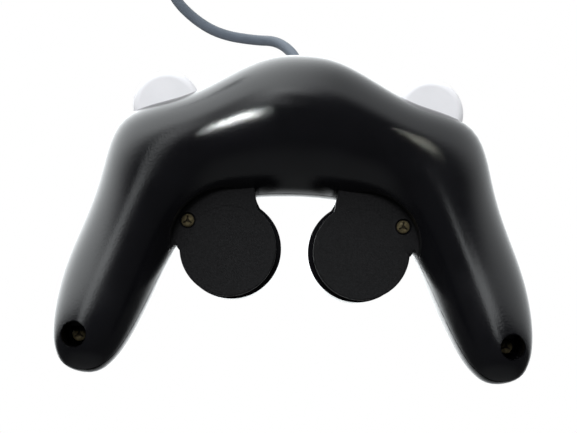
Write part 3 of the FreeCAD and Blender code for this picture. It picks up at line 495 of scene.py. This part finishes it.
# Face buttons: their places, sizes and outlines
a_x, a_y, a_r = -37.0, 13.0, 7.0
b_distance, b_angle, b_r = 14.8, -15.0, 4.7
bean_mid_r, bean_half_w, bean_half_angle = 11.0, 2.1, 22.0
x_angle, y_angle = 168.0, 85.0
start_y, start_r = 15.5, 3.6
collar_low, collar_z, collar_w, running_gap = 8.0, 15.0, 1.2, 0.3


def polar(r, angle):
    """Point at r from the large button, at an angle from +X in degrees."""
    return a_x + r * math.cos(math.radians(angle)), a_y + r * math.sin(math.radians(angle))


def bean(angle, grow, steps=14):
    """Kidney-shaped outline round the large button, grown by grow."""
    w = bean_half_w + grow
    low, high = angle - bean_half_angle, angle + bean_half_angle
    spread = [low + (high - low) * i / steps for i in range(steps + 1)]
    outline = [polar(bean_mid_r + w, a) for a in spread]
    for end, way, turn in ((high, 1, 0), (low, -1, 180)):
        cx, cy = polar(bean_mid_r, end)
        for i in range(1, steps):
            a = math.radians(end + turn + 180 * i / steps)
            outline.append((cx + w * math.cos(a), cy + w * math.sin(a)))
        if way > 0:
            outline += [polar(bean_mid_r - w, a) for a in reversed(spread)]
    return outline


b_x, b_y = polar(b_distance, b_angle)
button_outlines = {
    "a_button": lambda g: circle(a_x, a_y, a_r + g),
    "b_button": lambda g: circle(b_x, b_y, b_r + g),
    "x_button": lambda g: bean(x_angle, g),
    "y_button": lambda g: bean(y_angle, g),
    "start_button": lambda g: circle(0, start_y, start_r + g),
}
pad_half, pad_arm, pad_gap, pad_round = 9.8, 3.3, 0.8, 0.8


def cross(grow):
    """Plus-shaped outline of the directional pad, grown by grow."""
    a, b = pad_half + grow, pad_arm + grow
    quarter = [(a, -b), (a, b), (b, b)]
    ways = [(1, 0), (0, 1), (-1, 0), (0, -1)]
    corners = [(pod_x + c * x - s * y, pod_y + s * x + c * y) for c, s in ways for x, y in quarter]
    return softened(corners, pad_round)


# Places and sizes of what sits in the shells
stick_x, stick_y, bowl_r, bowl_z, gate_r, c_gate_r = 39.0, 13.5, 13.5, 11.8, 8.6, 7.6
bowl_wall = 2.0
trigger_x, trigger_y, trigger_r, trigger_low, trigger_high = 41.1, 33.2, 10.5, 14.5, 27.2
trigger_gap, trigger_turn, trigger_spare, hinge_y, hinge_z = 0.5, 13.0, 2.5, 29.3, 16.0
tongue_x0, tongue_x1, tongue_half = 34.0, 41.6, 1.9
ear_t, ear_gap, ear_foot = 1.3, 0.3, 10.0
bridge = [(19.0, 38.1), (24.0, 31.5), (34.2, 34.3), (32.0, 37.7), (24.0, 40.5)]
bridge_low, bridge_high = 17.0, 24.5
exit_y, exit_z, notch_r, grommet_r, grommet_half = 41.5, 15.2, 6.0, 2.4, 4.0
notch_wall_end, notch_end = 9.0, 15.0
z_x, z_y, z_z, z_heading, z_half = -24.4, 39.2, 14.2, -25.0, 5.0
z_thick, z_proud, z_high, z_travel, z_hole_end = 5.0, 2.6, 4.4, 1.0, 8.0
screw_r, screw_head_r, screw_head_t, screw_len = 1.25, 2.0, 1.4, 10.0
pod_screw, grip_screw = (32.65, -3.6), (61.6, -38.6)
well_r, well_wall, well_z, well_floor, well_mouth_z = 3.6, 1.4, 50.5, 2.0, 54.0
pillar_r, bore_play, head_play, head_sunk = 3.2, 0.1, 0.5, 0.2
plate_dip_r, plate_dip = 12.8, 0.12
head_z = pod_back_z - head_sunk - screw_head_t


def z_block(grow, half_len, near, far, high):
    """Block square to the shoulder, from near to far along its outward side."""
    turn = math.radians(z_heading)
    face, along = Vector((math.sin(turn), math.cos(turn))), Vector((math.cos(turn), -math.sin(turn)))
    foot = Vector((z_x, z_y)) + face * (near - grow)
    side, depth = along * (half_len + grow), face * (far - near + 2 * grow)
    corners = [foot + side, foot + side + depth, foot - side + depth, foot - side]
    return slab([tuple(c) for c in corners], z_z - high / 2 - grow, z_z + high / 2 + grow, shell_mat)


def trigger_window():
    """Room that a trigger needs from rest to fully pulled."""
    r = trigger_r + trigger_gap
    swing = (trigger_high - hinge_z) * math.sin(math.radians(trigger_turn)) + trigger_spare
    low, high = trigger_low - 2 * trigger_gap, seam_z + 1
    return union(cyl(r, trigger_x, trigger_y, low, high),
                 cyl(r, trigger_x, trigger_y - swing, low, high),
                 block(trigger_x - r, trigger_x + r, trigger_y - swing, trigger_y, low, high))


def main_part(mesh):
    """Mesh without the loose bits that a cut leaves."""
    bm = bmesh.new()
    bm.from_mesh(mesh)
    left, islands = set(bm.faces), []
    while left:
        island, edge = set(), [left.pop()]
        while edge:
            face = edge.pop()
            island.add(face)
            for near in (f for e in face.edges for f in e.link_faces):
                if near in left:
                    left.remove(near)
                    edge.append(near)
        islands.append(island)
    islands.sort(key=len)
    bmesh.ops.delete(bm, geom=[f for island in islands[:-1] for f in island], context="FACES")
    bm.to_mesh(mesh)
    bm.free()
    return mesh


# Both shells: the casing split at the parting line, hollowed, with what stands inside and every hole
outer, inner = casing(0, seam_z, edge_r), casing(wall, seam_z + 1)
face_zone, back_zone = front_zone(0), front_zone(parting_gap)
ears = [block(x, x + ear_t, hinge_y - tongue_half, hinge_y + tongue_half,
              ear_foot, hinge_z + tongue_half)
        for x in (tongue_x0 - ear_gap - ear_t, tongue_x1 + ear_gap)]
ears += [mirrored(e) for e in ears]
collars = [slab(line(collar_w), collar_low, collar_z, shell_mat) for line in button_outlines.values()]
face_features = ears + collars + [
    cyl(bowl_r + bowl_wall, stick_x, stick_y, 0, bowl_z + wall),
    rod(notch_r + wall, (0, exit_y - wall, exit_z), (0, exit_y + notch_wall_end, exit_z)),
]
holes = [slab(line(running_gap), -1, collar_z + 0.1, shell_mat) for line in button_outlines.values()]
holes += [
    cyl(bowl_r, stick_x, stick_y, 0, bowl_z),
    slab(octagon(gate_r, stick_x, stick_y), bowl_z - 1, bowl_z + wall + 1, shell_mat),
    slab(octagon(c_gate_r, -pod_x, pod_y), 0, pod_face_z + wall + 1, shell_mat),
    slab(cross(pad_gap), 0, pod_face_z + wall + 1, shell_mat),
    z_block(running_gap, z_half, z_proud - z_thick - z_travel, z_hole_end, z_high),
    rod(notch_r, (0, exit_y, exit_z), (0, exit_y + notch_end, exit_z)),
    rod(grommet_r, (0, exit_y - grommet_half, exit_z), (0, exit_y + grommet_half, exit_z)),
]

# A fine step along the edges of both shells and round the wells' mouths
edge_places = cut(front_zone(parting_gap + edge_step), front_zone(-edge_step, 95.0))
edge_places = union(edge_places, *both(cyl(well_r + edge_step, *grip_screw, well_mouth_z, above_all)))
edges = common(cut(outer, casing(edge_step, seam_z, edge_r)), edge_places)

front_block = union(common(outer, face_zone), *both(slab(bridge, bridge_low, bridge_high, shell_mat)))
front_room = cut(union(inner, *both(trigger_window())), *face_features)
front = cut(front_block, front_room, *holes, edges)
well_cups = both(cyl(well_r + well_wall, *grip_screw, well_z - well_floor, above_all))
screw_pillars = both(cyl(pillar_r, *pod_screw, seam_z, pod_back_z))
drills = both(cyl(well_r, *grip_screw, well_z, above_all))
drills += both(cyl(screw_r + bore_play, *grip_screw, well_z - well_floor - 1, well_z + 1))
drills += both(cyl(screw_head_r + head_play, *pod_screw, head_z, above_all))
drills += both(cyl(screw_r + bore_play, *pod_screw, seam_z, head_z + 1))
dip_z = pod_back_z - plate_dip
plate_dips = both(slab(circle(pod_x + pod_lean, pod_y, plate_dip_r), dip_z, above_all, plate_mat))
back = cut(cut(outer, back_zone), cut(inner, *well_cups, *screw_pillars), *drills, *plate_dips, edges)
piece("back_cover", main_part(back), "casing", "back_shell")
piece("front_cover", main_part(front), "casing", "front_shell")

# Case screws: pan heads with a three-winged drive
drive_r, drive_z, wing_len, wing_half = 0.55, 0.5, 1.5, 0.27


def case_screw(x, y, z):
    """Screw whose head rests on z."""
    profile = [(0, -screw_len), (screw_r - 0.3, -screw_len), (screw_r, 0.6 - screw_len), (screw_r, 0),
               (1.9, 0), (screw_head_r, 0.15), (screw_head_r, 0.6), (1.9, 0.85), (1.65, 1.1),
               (1.2, 1.28), (0.6, 1.37), (0, screw_head_t)]
    # the cut leaves the drive's near-black colour on the recess walls as painted shade
    drive = [cyl(drive_r, 0, 0, drive_z, 2, looks["drive"])]
    for k in range(3):
        wing = block(0, wing_len, -wing_half, wing_half, drive_z + 0.1, 2, looks["drive"])
        drive.append(turned(wing, Matrix.Rotation(math.radians(90 + 120 * k), 3, "Z")))
    screw = cut(lathe(profile, 0, 0, looks["screw"], 48), *drive)
    return turned(screw, Matrix.Identity(3), (x, y, z))


screws = [case_screw(k * x, y, z)
          for k in (-1, 1) for x, y, z in ((*pod_screw, head_z), (*grip_screw, well_z))]
piece("screws", union(*screws), "casing", "case_screws", slot="screw", sharp=40)

# Face buttons: a crowned round or kidney-shaped cap with its flange and stem
flange_w, flange_t = 0.4, 1.2
cap_end = collar_z + 0.3
flange_end, stem_end = cap_end + flange_t, 24.2


def round_button(x, y, r, top, crown, dome, stem_r, mat):
    """Cap whose outer end swells by dome towards its middle, above a rim rounded by crown."""
    flat = r - crown
    profile = [(flat * i / 8, top + dome * (i / 8) ** 2) for i in range(9)]
    for i in range(1, 9):
        a = math.pi / 2 * i / 8
        profile.append((flat + crown * math.sin(a), top + dome + crown * (1 - math.cos(a))))
    brim = r + running_gap + flange_w
    profile += [(r, cap_end), (brim, cap_end), (brim, flange_end), (stem_r, flange_end),
                (stem_r, stem_end), (0, stem_end)]
    return lathe(profile, x, y, mat)


def bean_button(angle, top, crown, stem_r, mat):
    """Kidney-shaped cap at that angle round the large button, its rim rounded by crown."""
    cap = slab(bean(angle, 0), top, cap_end + 0.1, mat, low=crown, steps=8)
    flange = slab(bean(angle, running_gap + flange_w), cap_end, flange_end, mat)
    x, y = polar(bean_mid_r, angle)
    return union(cap, flange, cyl(stem_r, x, y, flange_end - 0.1, stem_end, mat))


green, red, grey = looks["green_button"], looks["red_button"], looks["grey_button"]
buttons = {
    "a_button": (round_button(a_x, a_y, a_r, 0.0, 1.1, 0.45, 3.6, green), "green_button"),
    "b_button": (round_button(b_x, b_y, b_r, 3.2, 0.9, 0.3, 2.6, red), "red_button"),
    "start_button": (round_button(0, start_y, start_r, 6.4, 0.6, 0.2, 2.2, grey), "grey_button"),
    "x_button": (bean_button(x_angle, 3.8, 1.1, 2.0, grey), "grey_button"),
    "y_button": (bean_button(y_angle, 3.8, 1.1, 2.0, grey), "grey_button"),
}
for name, (mesh, look) in buttons.items():
    piece(name.replace("button", "cap"), mesh, name, name, slot=look)

# Directional pad: a cross dished towards its middle, with a hollow ring and a groove on each arm
pad_top, pad_flange_z, pad_flange_r, dish_r = 7.5, 16.4, 10.5, 26.0
pad_stem_r, pad_stem_end, pad_bore_r, dish_edge = 3.6, 20.5, 2.3, 8
groove_deep, groove_corners, groove_round = 0.45, [(9.0, 0), (6.7, 1.9), (6.7, -1.9)], 0.5
pad = slab(cross(0), pad_top, pad_flange_z + 0.1, grey, low=0.7, steps=6)
pad = union(pad, cyl(pad_flange_r, pod_x, pod_y, pad_flange_z, pad_flange_z + flange_t, grey))
pad = union(pad, cyl(pad_stem_r, pod_x, pod_y, pad_flange_z + 1, pad_stem_end, grey))
dish_z = pad_top + 0.9 - dish_r
dish = [(0, pad_top - 2), (dish_edge, pad_top - 2)]
dish += [(r, dish_z + math.sqrt(dish_r ** 2 - r ** 2)) for r in range(dish_edge, -1, -1)]
grooves = [lathe(dish, pod_x, pod_y, grey)]
for k in range(4):
    c, s = math.cos(math.pi / 2 * k), math.sin(math.pi / 2 * k)
    arrow = [(pod_x + u * c - v * s, pod_y + u * s + v * c) for u, v in groove_corners]
    grooves.append(slab(softened(arrow, groove_round), pad_top - 1, pad_top + groove_deep, grey))
hollow = [(0, 8), (1.9, 8), (1.9, pad_top + 1.1), (1.4, pad_top + 1.4), (0, pad_top + 1.5)]
bore = cyl(pad_bore_r, pod_x, pod_y, pad_flange_z + 0.3, pad_stem_end + 0.5, grey)
pad = cut(pad, *grooves, lathe(hollow, pod_x, pod_y, grey, 48), bore)
piece("direction_pad", pad, "dpad", "dpad", slot="grey_button", sharp=35)

# Sticks' caps: a dished disc with raised rings, a rounded rim and a waist down to the stem
rim_r, rim_half, ridge_high, bore_floor = 0.9, 0.55, 0.38, 3.0


def stick_cap(x, y, r, dip, rings, waist, bore_r, mat):
    """Cap of radius r whose face is dip deep in the middle, with that many raised rings."""
    face, steps, end = r - rim_r, 18 * rings, waist[-1][1]
    profile = []
    for i in range(steps + 1):
        t = i / steps
        ridge = max(0, math.cos(2 * math.pi * (rings * t - 0.75))) ** 1.5
        profile.append((face * t, 0.15 + dip * (1 - t * t) - ridge_high * ridge * (0.4 + 0.6 * (1 - t))))
    for i in range(1, 9):
        a = math.pi * i / 8
        profile.append((face + rim_r * math.sin(a / 2), 0.15 + rim_half * (1 - math.cos(a))))
    cap = lathe(profile + waist + [(0, end)], x, y, mat, 120)
    return cut(cap, cyl(bore_r, x, y, bore_floor, end + 1, mat))


main_waist = [(9.2, 2.6), (8.8, 3.2), (7.0, 4.1), (5.4, 5.2), (4.4, 6.2), (4.0, 7.2), (4.0, 13.5)]
c_waist = [(6.6, 2.2), (6.1, 2.9), (4.4, 3.9), (3.3, 4.8), (2.8, 5.6), (2.6, 6.2), (2.6, 16.0)]
piece("stick_cap", stick_cap(stick_x, stick_y, 9.2, 1.4, 4, main_waist, 2.0, looks["stick_grey"]),
      "main_stick", "main_stick_cap", slot="stick_grey", sharp=50)
piece("c_cap", stick_cap(-pod_x, pod_y, 6.6, 0.5, 3, c_waist, 1.3, looks["stick_yellow"]),
      "c_stick", "c_stick_cap", slot="stick_yellow", sharp=50)

# Shoulder button with its rounded outer face and its stem
z_turn = math.radians(z_heading)
z_face = Vector((math.sin(z_turn), math.cos(z_turn), 0))
z_along = Vector((math.cos(z_turn), -math.sin(z_turn), 0))
z_round, z_stem_half, z_stem_high, z_stem_end = 0.9, 3.2, 1.6, 7.5


def oblong(half_w, half_h, radius):
    corners = [(-half_w, -half_h), (half_w, -half_h), (half_w, half_h), (-half_w, half_h)]
    return softened(corners, radius)


indigo = looks["indigo_button"]
z_cap = slab(oblong(z_half, z_high / 2, z_round), -z_proud, z_thick - z_proud, indigo, low=0.8, steps=6)
z_stem = slab(oblong(z_stem_half, z_stem_high, 0.3), z_thick - z_proud - 0.1, z_stem_end, indigo)
z_frame = Matrix((z_along, UP, -z_face)).transposed()
piece("z_cap", turned(union(z_cap, z_stem), z_frame, (z_x, z_y, z_z)), "z_button", "z_button",
      slot="indigo_button")

# Cord: the route's points, then the coil by its formula
cord_d = 3.4
cord_z = cord_d / 2
route = [(0.0, 43.0, 15.2), (0.0, 44.5, 15.2), (-0.6, 51.3, 14.4), (-6.8, 58.2, 7.2),
         (-14.8, 59.3, cord_z), (-26.0, 60.8, cord_z), (-34.5, 65.3, cord_z), (-42.4, 72.8, cord_z),
         (-48.0, 86.5, cord_z), (-50.0, 99.3, cord_z)]
coil_out_r, coil_in_r, coil_layers, coil_pitch = 26.86, 11.14, 4, 4.1
coil_turns, points_a_turn, cord_steps = 15.34, 20, 6


def coil_points():
    """Clockwise turns that spiral in and out by turns, each layer on the one below."""
    (x0, y0, _), (x1, y1, _) = route[-2:]
    ahead = Vector((x1 - x0, y1 - y0, 0)).normalized()
    start = Vector((x1, y1, 0)) + ahead * cord_d
    centre = start + Vector((ahead.y, -ahead.x, 0)) * coil_out_r
    start_angle = math.atan2(start.y - centre.y, start.x - centre.x)
    layer_turns = coil_turns / coil_layers
    climb = layer_turns / round(4 * layer_turns)
    points = []
    count = round(coil_turns * points_a_turn)
    for i in range(count + 1):
        turns = coil_turns * i / count
        layer = min(int(turns / layer_turns), coil_layers - 1)
        part = turns / layer_turns - layer
        inwards = part if layer % 2 == 0 else 1 - part
        r = coil_out_r - (coil_out_r - coil_in_r) * inwards
        z = cord_z + coil_pitch * layer
        near = round(turns / layer_turns)
        off = (turns - near * layer_turns) / climb
        if 0 < near < coil_layers and abs(off) < 1:
            t = (off + 1) / 2
            z = cord_z + coil_pitch * (near - 1 + t * t * (3 - 2 * t))
        angle = start_angle - 2 * math.pi * turns
        points.append((centre.x + r * math.cos(angle), centre.y + r * math.sin(angle), z))
    return points, centre, start_angle - 2 * math.pi * coil_turns


turns, coil_centre, end_angle = coil_points()
plug_z = 21.0
rise = ((60, 27.0, 16.6), (110, 24.5, 19.6), (150, 17.0, plug_z))  # degrees past the coil, radius, height
for back_turn, r, z in rise:
    a = end_angle - math.radians(back_turn)
    turns.append((coil_centre.x + r * math.cos(a), coil_centre.y + r * math.sin(a), z))


def nurbs(name, points, radius, mat):
    """Round bar of that radius in mm along a smooth curve near the points."""
    curve = bpy.data.curves.new(name, "CURVE")
    curve.dimensions = "3D"
    curve.bevel_depth = radius * MM
    curve.bevel_resolution = 6
    spline = curve.splines.new("NURBS")
    spline.points.add(len(points) - 1)
    for p, co in zip(spline.points, points):
        p.co = (*(c * MM for c in co), 1)
    spline.order_u = 3
    spline.use_endpoint_u = True
    spline.resolution_u = cord_steps
    curve.use_fill_caps = True
    curve.materials.append(mat)
    return collection_link(bpy.data.objects.new(name, curve))


# Ribbed sleeve where the cord leaves the casing, as (radius, distance from the notch's wall)
sleeve = [(0, -3.7), (3.0, -3.7), (3.0, -2.2), (2.4, -2.2), (2.4, 0), (3.0, 0), (3.0, 1.1), (2.7, 1.5)]
sleeve_rib = 1.3
for k, r in enumerate((2.65, 2.55, 2.45, 2.35)):
    at = 1.5 + sleeve_rib * k
    sleeve += [(r, at), (r - 0.05, at + 0.8), (r - 0.35, at + 0.95), (r - 0.35, at + 1.2)]
sleeve += [(2.1, 6.8), (1.85, 7.2), (0, 7.2)]
grommet = turned(lathe(sleeve, 0, 0, looks["cord"], 64),
                 Vector((0, 1, 0)).to_track_quat("Z", "Y").to_matrix(), (0, exit_y, exit_z))
piece("cord_sleeve", grommet, "casing", "cable_grommet", slot="cord", sharp=40)

# Plug body: ribbed boot, then a grip with finger grooves across both broad sides
plug_at, plug_axis = (-24.93, 92.90, plug_z), Vector((-0.8863, 0.4630, 0)).normalized()
boot_len, body_end, plug_w, plug_h, plug_round = 6.0, 30.0, 14.0, 10.0, 2.2
boot_rib, boot_widens = 1.3, 0.3
boot = [(0, 0.2), (2.2, 0.2), (2.5, 0.5)]
for k in range(4):
    r, at = 2.7 + boot_widens * k, 0.8 + boot_rib * k
    boot += [(r, at), (r + 0.1, at + 0.8), (r - 0.4, at + 0.95), (r - 0.35, at + 1.2)]
boot += [(3.8, boot_len), (3.8, boot_len + 1), (0, boot_len + 1)]
grip_levels = [(1.0, boot_len), (0.45, boot_len + 0.2), (0.1, boot_len + 0.7), (0, boot_len + 1.3),
               (0, body_end - 0.6), (0.2, body_end - 0.15), (0.45, body_end)]
plug = union(stacked(oblong(plug_w / 2, plug_h / 2, plug_round), grip_levels, looks["plug"]),
             lathe(boot, 0, 0, looks["plug"], 64))
groove_count, groove_pitch, groove_w, groove_half, groove_cut = 6, 2.2, 1.0, 5, 0.55
for k in range(groove_count):
    z = boot_len + 5.5 + groove_pitch * k
    for side in (-1, 1):
        y0, y1 = sorted((side * (plug_h / 2 - groove_cut), side * (plug_h / 2 + 1)))
        corners = [(-groove_half, y0), (groove_half, y0), (groove_half, y1), (-groove_half, y1)]
        plug = cut(plug, slab(corners, z, z + groove_w, looks["plug"]))
plug_frame = Matrix((UP.cross(plug_axis), UP, plug_axis)).transposed()
plug = piece("plug_grip", turned(plug, plug_frame, plug_at), "casing", "plug_body", slot="plug", sharp=35)

cord = nurbs("lead", route + turns, cord_d / 2, looks["cord"])
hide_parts("cord", "cord_coil")
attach(cord, "casing")
cord.visible_glossy = plug.visible_glossy = False

# Floor, light and sky
floor_half, floor_z, lamp_distance, casing_middle = 3, -0.0002, 0.9, Vector((0, 0, 0.045))
floor_mesh = bpy.data.meshes.new("floor")
floor_corners = [(x * floor_half, y * floor_half, floor_z)
                 for x, y in ((-1, -1), (1, -1), (1, 1), (-1, 1))]
floor_mesh.from_pydata(floor_corners, [], [(0, 1, 2, 3)])
floor_mesh.materials.append(principled("floor_white", (0.0, 0.0, 0.0), 1.0, emission_color=(1, 1, 1, 1),
                                       emission_strength=1.0, specular_ior_level=0.0))
floor = collection_link(bpy.data.objects.new("floor", floor_mesh))
floor.visible_glossy = False


def lamp(kind, name, direction, power, colour):
    """New lamp in that direction, with its data; whoever calls sets its place."""
    data = bpy.data.lights.new(name, kind)
    data.energy = power
    data.color = colour
    return collection_link(bpy.data.objects.new(name, data)), data, Vector(direction).normalized()


def area_light(name, direction, along, sizes, power, colour=(1, 1, 1)):
    """Rectangular lamp in that direction from the casing's middle, its longer side along the second."""
    light, data, aim = lamp("AREA", name, direction, power, colour)
    data.shape = "RECTANGLE"
    data.size, data.size_y = sizes
    side = (Vector(along) - aim * aim.dot(Vector(along))).normalized()
    light.matrix_world = Matrix((side, aim.cross(side), aim)).transposed().to_4x4()
    light.location = casing_middle + aim * lamp_distance
    return light


def spot_light(name, direction, target, angle, size, power, colour):
    """Round lamp in that direction from the target in mm, whose soft cone has that angle in degrees."""
    light, data, aim = lamp("SPOT", name, direction, power, colour)
    data.spot_size = math.radians(angle)
    data.spot_blend = 1
    data.shadow_soft_size = size
    light.matrix_world = aim.to_track_quat("Z", "Y").to_matrix().to_4x4()
    light.location = Vector(target) * MM + aim * lamp_distance


# The key and the glint are aimed at where the photo has its two highlights; the wash lights what is matt
spot_light("key", (-0.215, 0.262, 0.94), (-19.3, 26.2, 48), 0.85, 0.007, 27.0, (0.97, 1, 1))
spot_light("glint", (0.29, 0.52, 0.80), (35.6, 20.4, 47), 0.7, 0.004, 1.6, (1, 0.98, 0.88))
wash = area_light("wash", (-0.1, 0.30, 0.94), (1, 0, 0), (0.25, 0.25), 5.9)
wash.visible_glossy = False


def make_sky():
    """Bright behind, most on the left, dark overhead and in front, with a dark patch as of a camera."""
    world = bpy.data.worlds.new("studio")
    scene.world = world
    world.use_nodes = True
    tree = world.node_tree
    place = tree.nodes.new("ShaderNodeTexCoord").outputs["Generated"]
    split = tree.nodes.new("ShaderNodeSeparateXYZ")
    tree.links.new(place, split.inputs[0])

    def smooth(value, low, high, start, end):
        span = tree.nodes.new("ShaderNodeMapRange")
        span.interpolation_type = "SMOOTHSTEP"
        for key, number in zip(range_sockets, (low, high, start, end)):
            span.inputs[key].default_value = number
        tree.links.new(value, span.inputs["Value"])
        return span.outputs["Result"]

    def maths(kind, a, b):
        node = tree.nodes.new("ShaderNodeMath")
        node.operation = kind
        for socket, value in zip(node.inputs, (a, b)):
            if isinstance(value, float):
                socket.default_value = value
            else:
                tree.links.new(value, socket)
        return node.outputs[0]

    def towards(direction):
        node = tree.nodes.new("ShaderNodeVectorMath")
        node.operation = "DOT_PRODUCT"
        node.inputs[1].default_value = Vector(direction).normalized()
        tree.links.new(place, node.inputs[0])
        return node.outputs["Value"]

    behind = maths("SUBTRACT", split.outputs["Y"], maths("MULTIPLY", split.outputs["Z"], 0.5))
    level = maths("ADD", smooth(split.outputs["X"], -0.3, 0.4, 3.1, 1.0),
                  smooth(split.outputs["X"], 0.5, 0.9, 0.0, 0.1))
    band = maths("MULTIPLY", smooth(behind, 0.2, 0.62, 0.0, 1.0), level)
    glow = maths("MULTIPLY", smooth(towards((-0.12, 0.62, 0.78)), 0.955, 0.993, 0.0, 2.2),
                 smooth(towards((0.0, 0.56, 0.83)), 0.988, 0.994, 1.0, 0.05))
    front = smooth(split.outputs["Y"], -1.0, -0.5, 0.12, 0.0)
    below = smooth(split.outputs["Z"], -0.97, -0.75, 0.45, 0.0)
    total = maths("ADD", maths("ADD", band, glow), maths("ADD", maths("ADD", front, below), 0.04))
    tree.nodes["Background"].inputs["Color"].default_value = (0.95, 0.985, 1, 1)
    tree.links.new(total, tree.nodes["Background"].inputs["Strength"])


make_sky()
scene.view_settings.view_transform = "Standard"
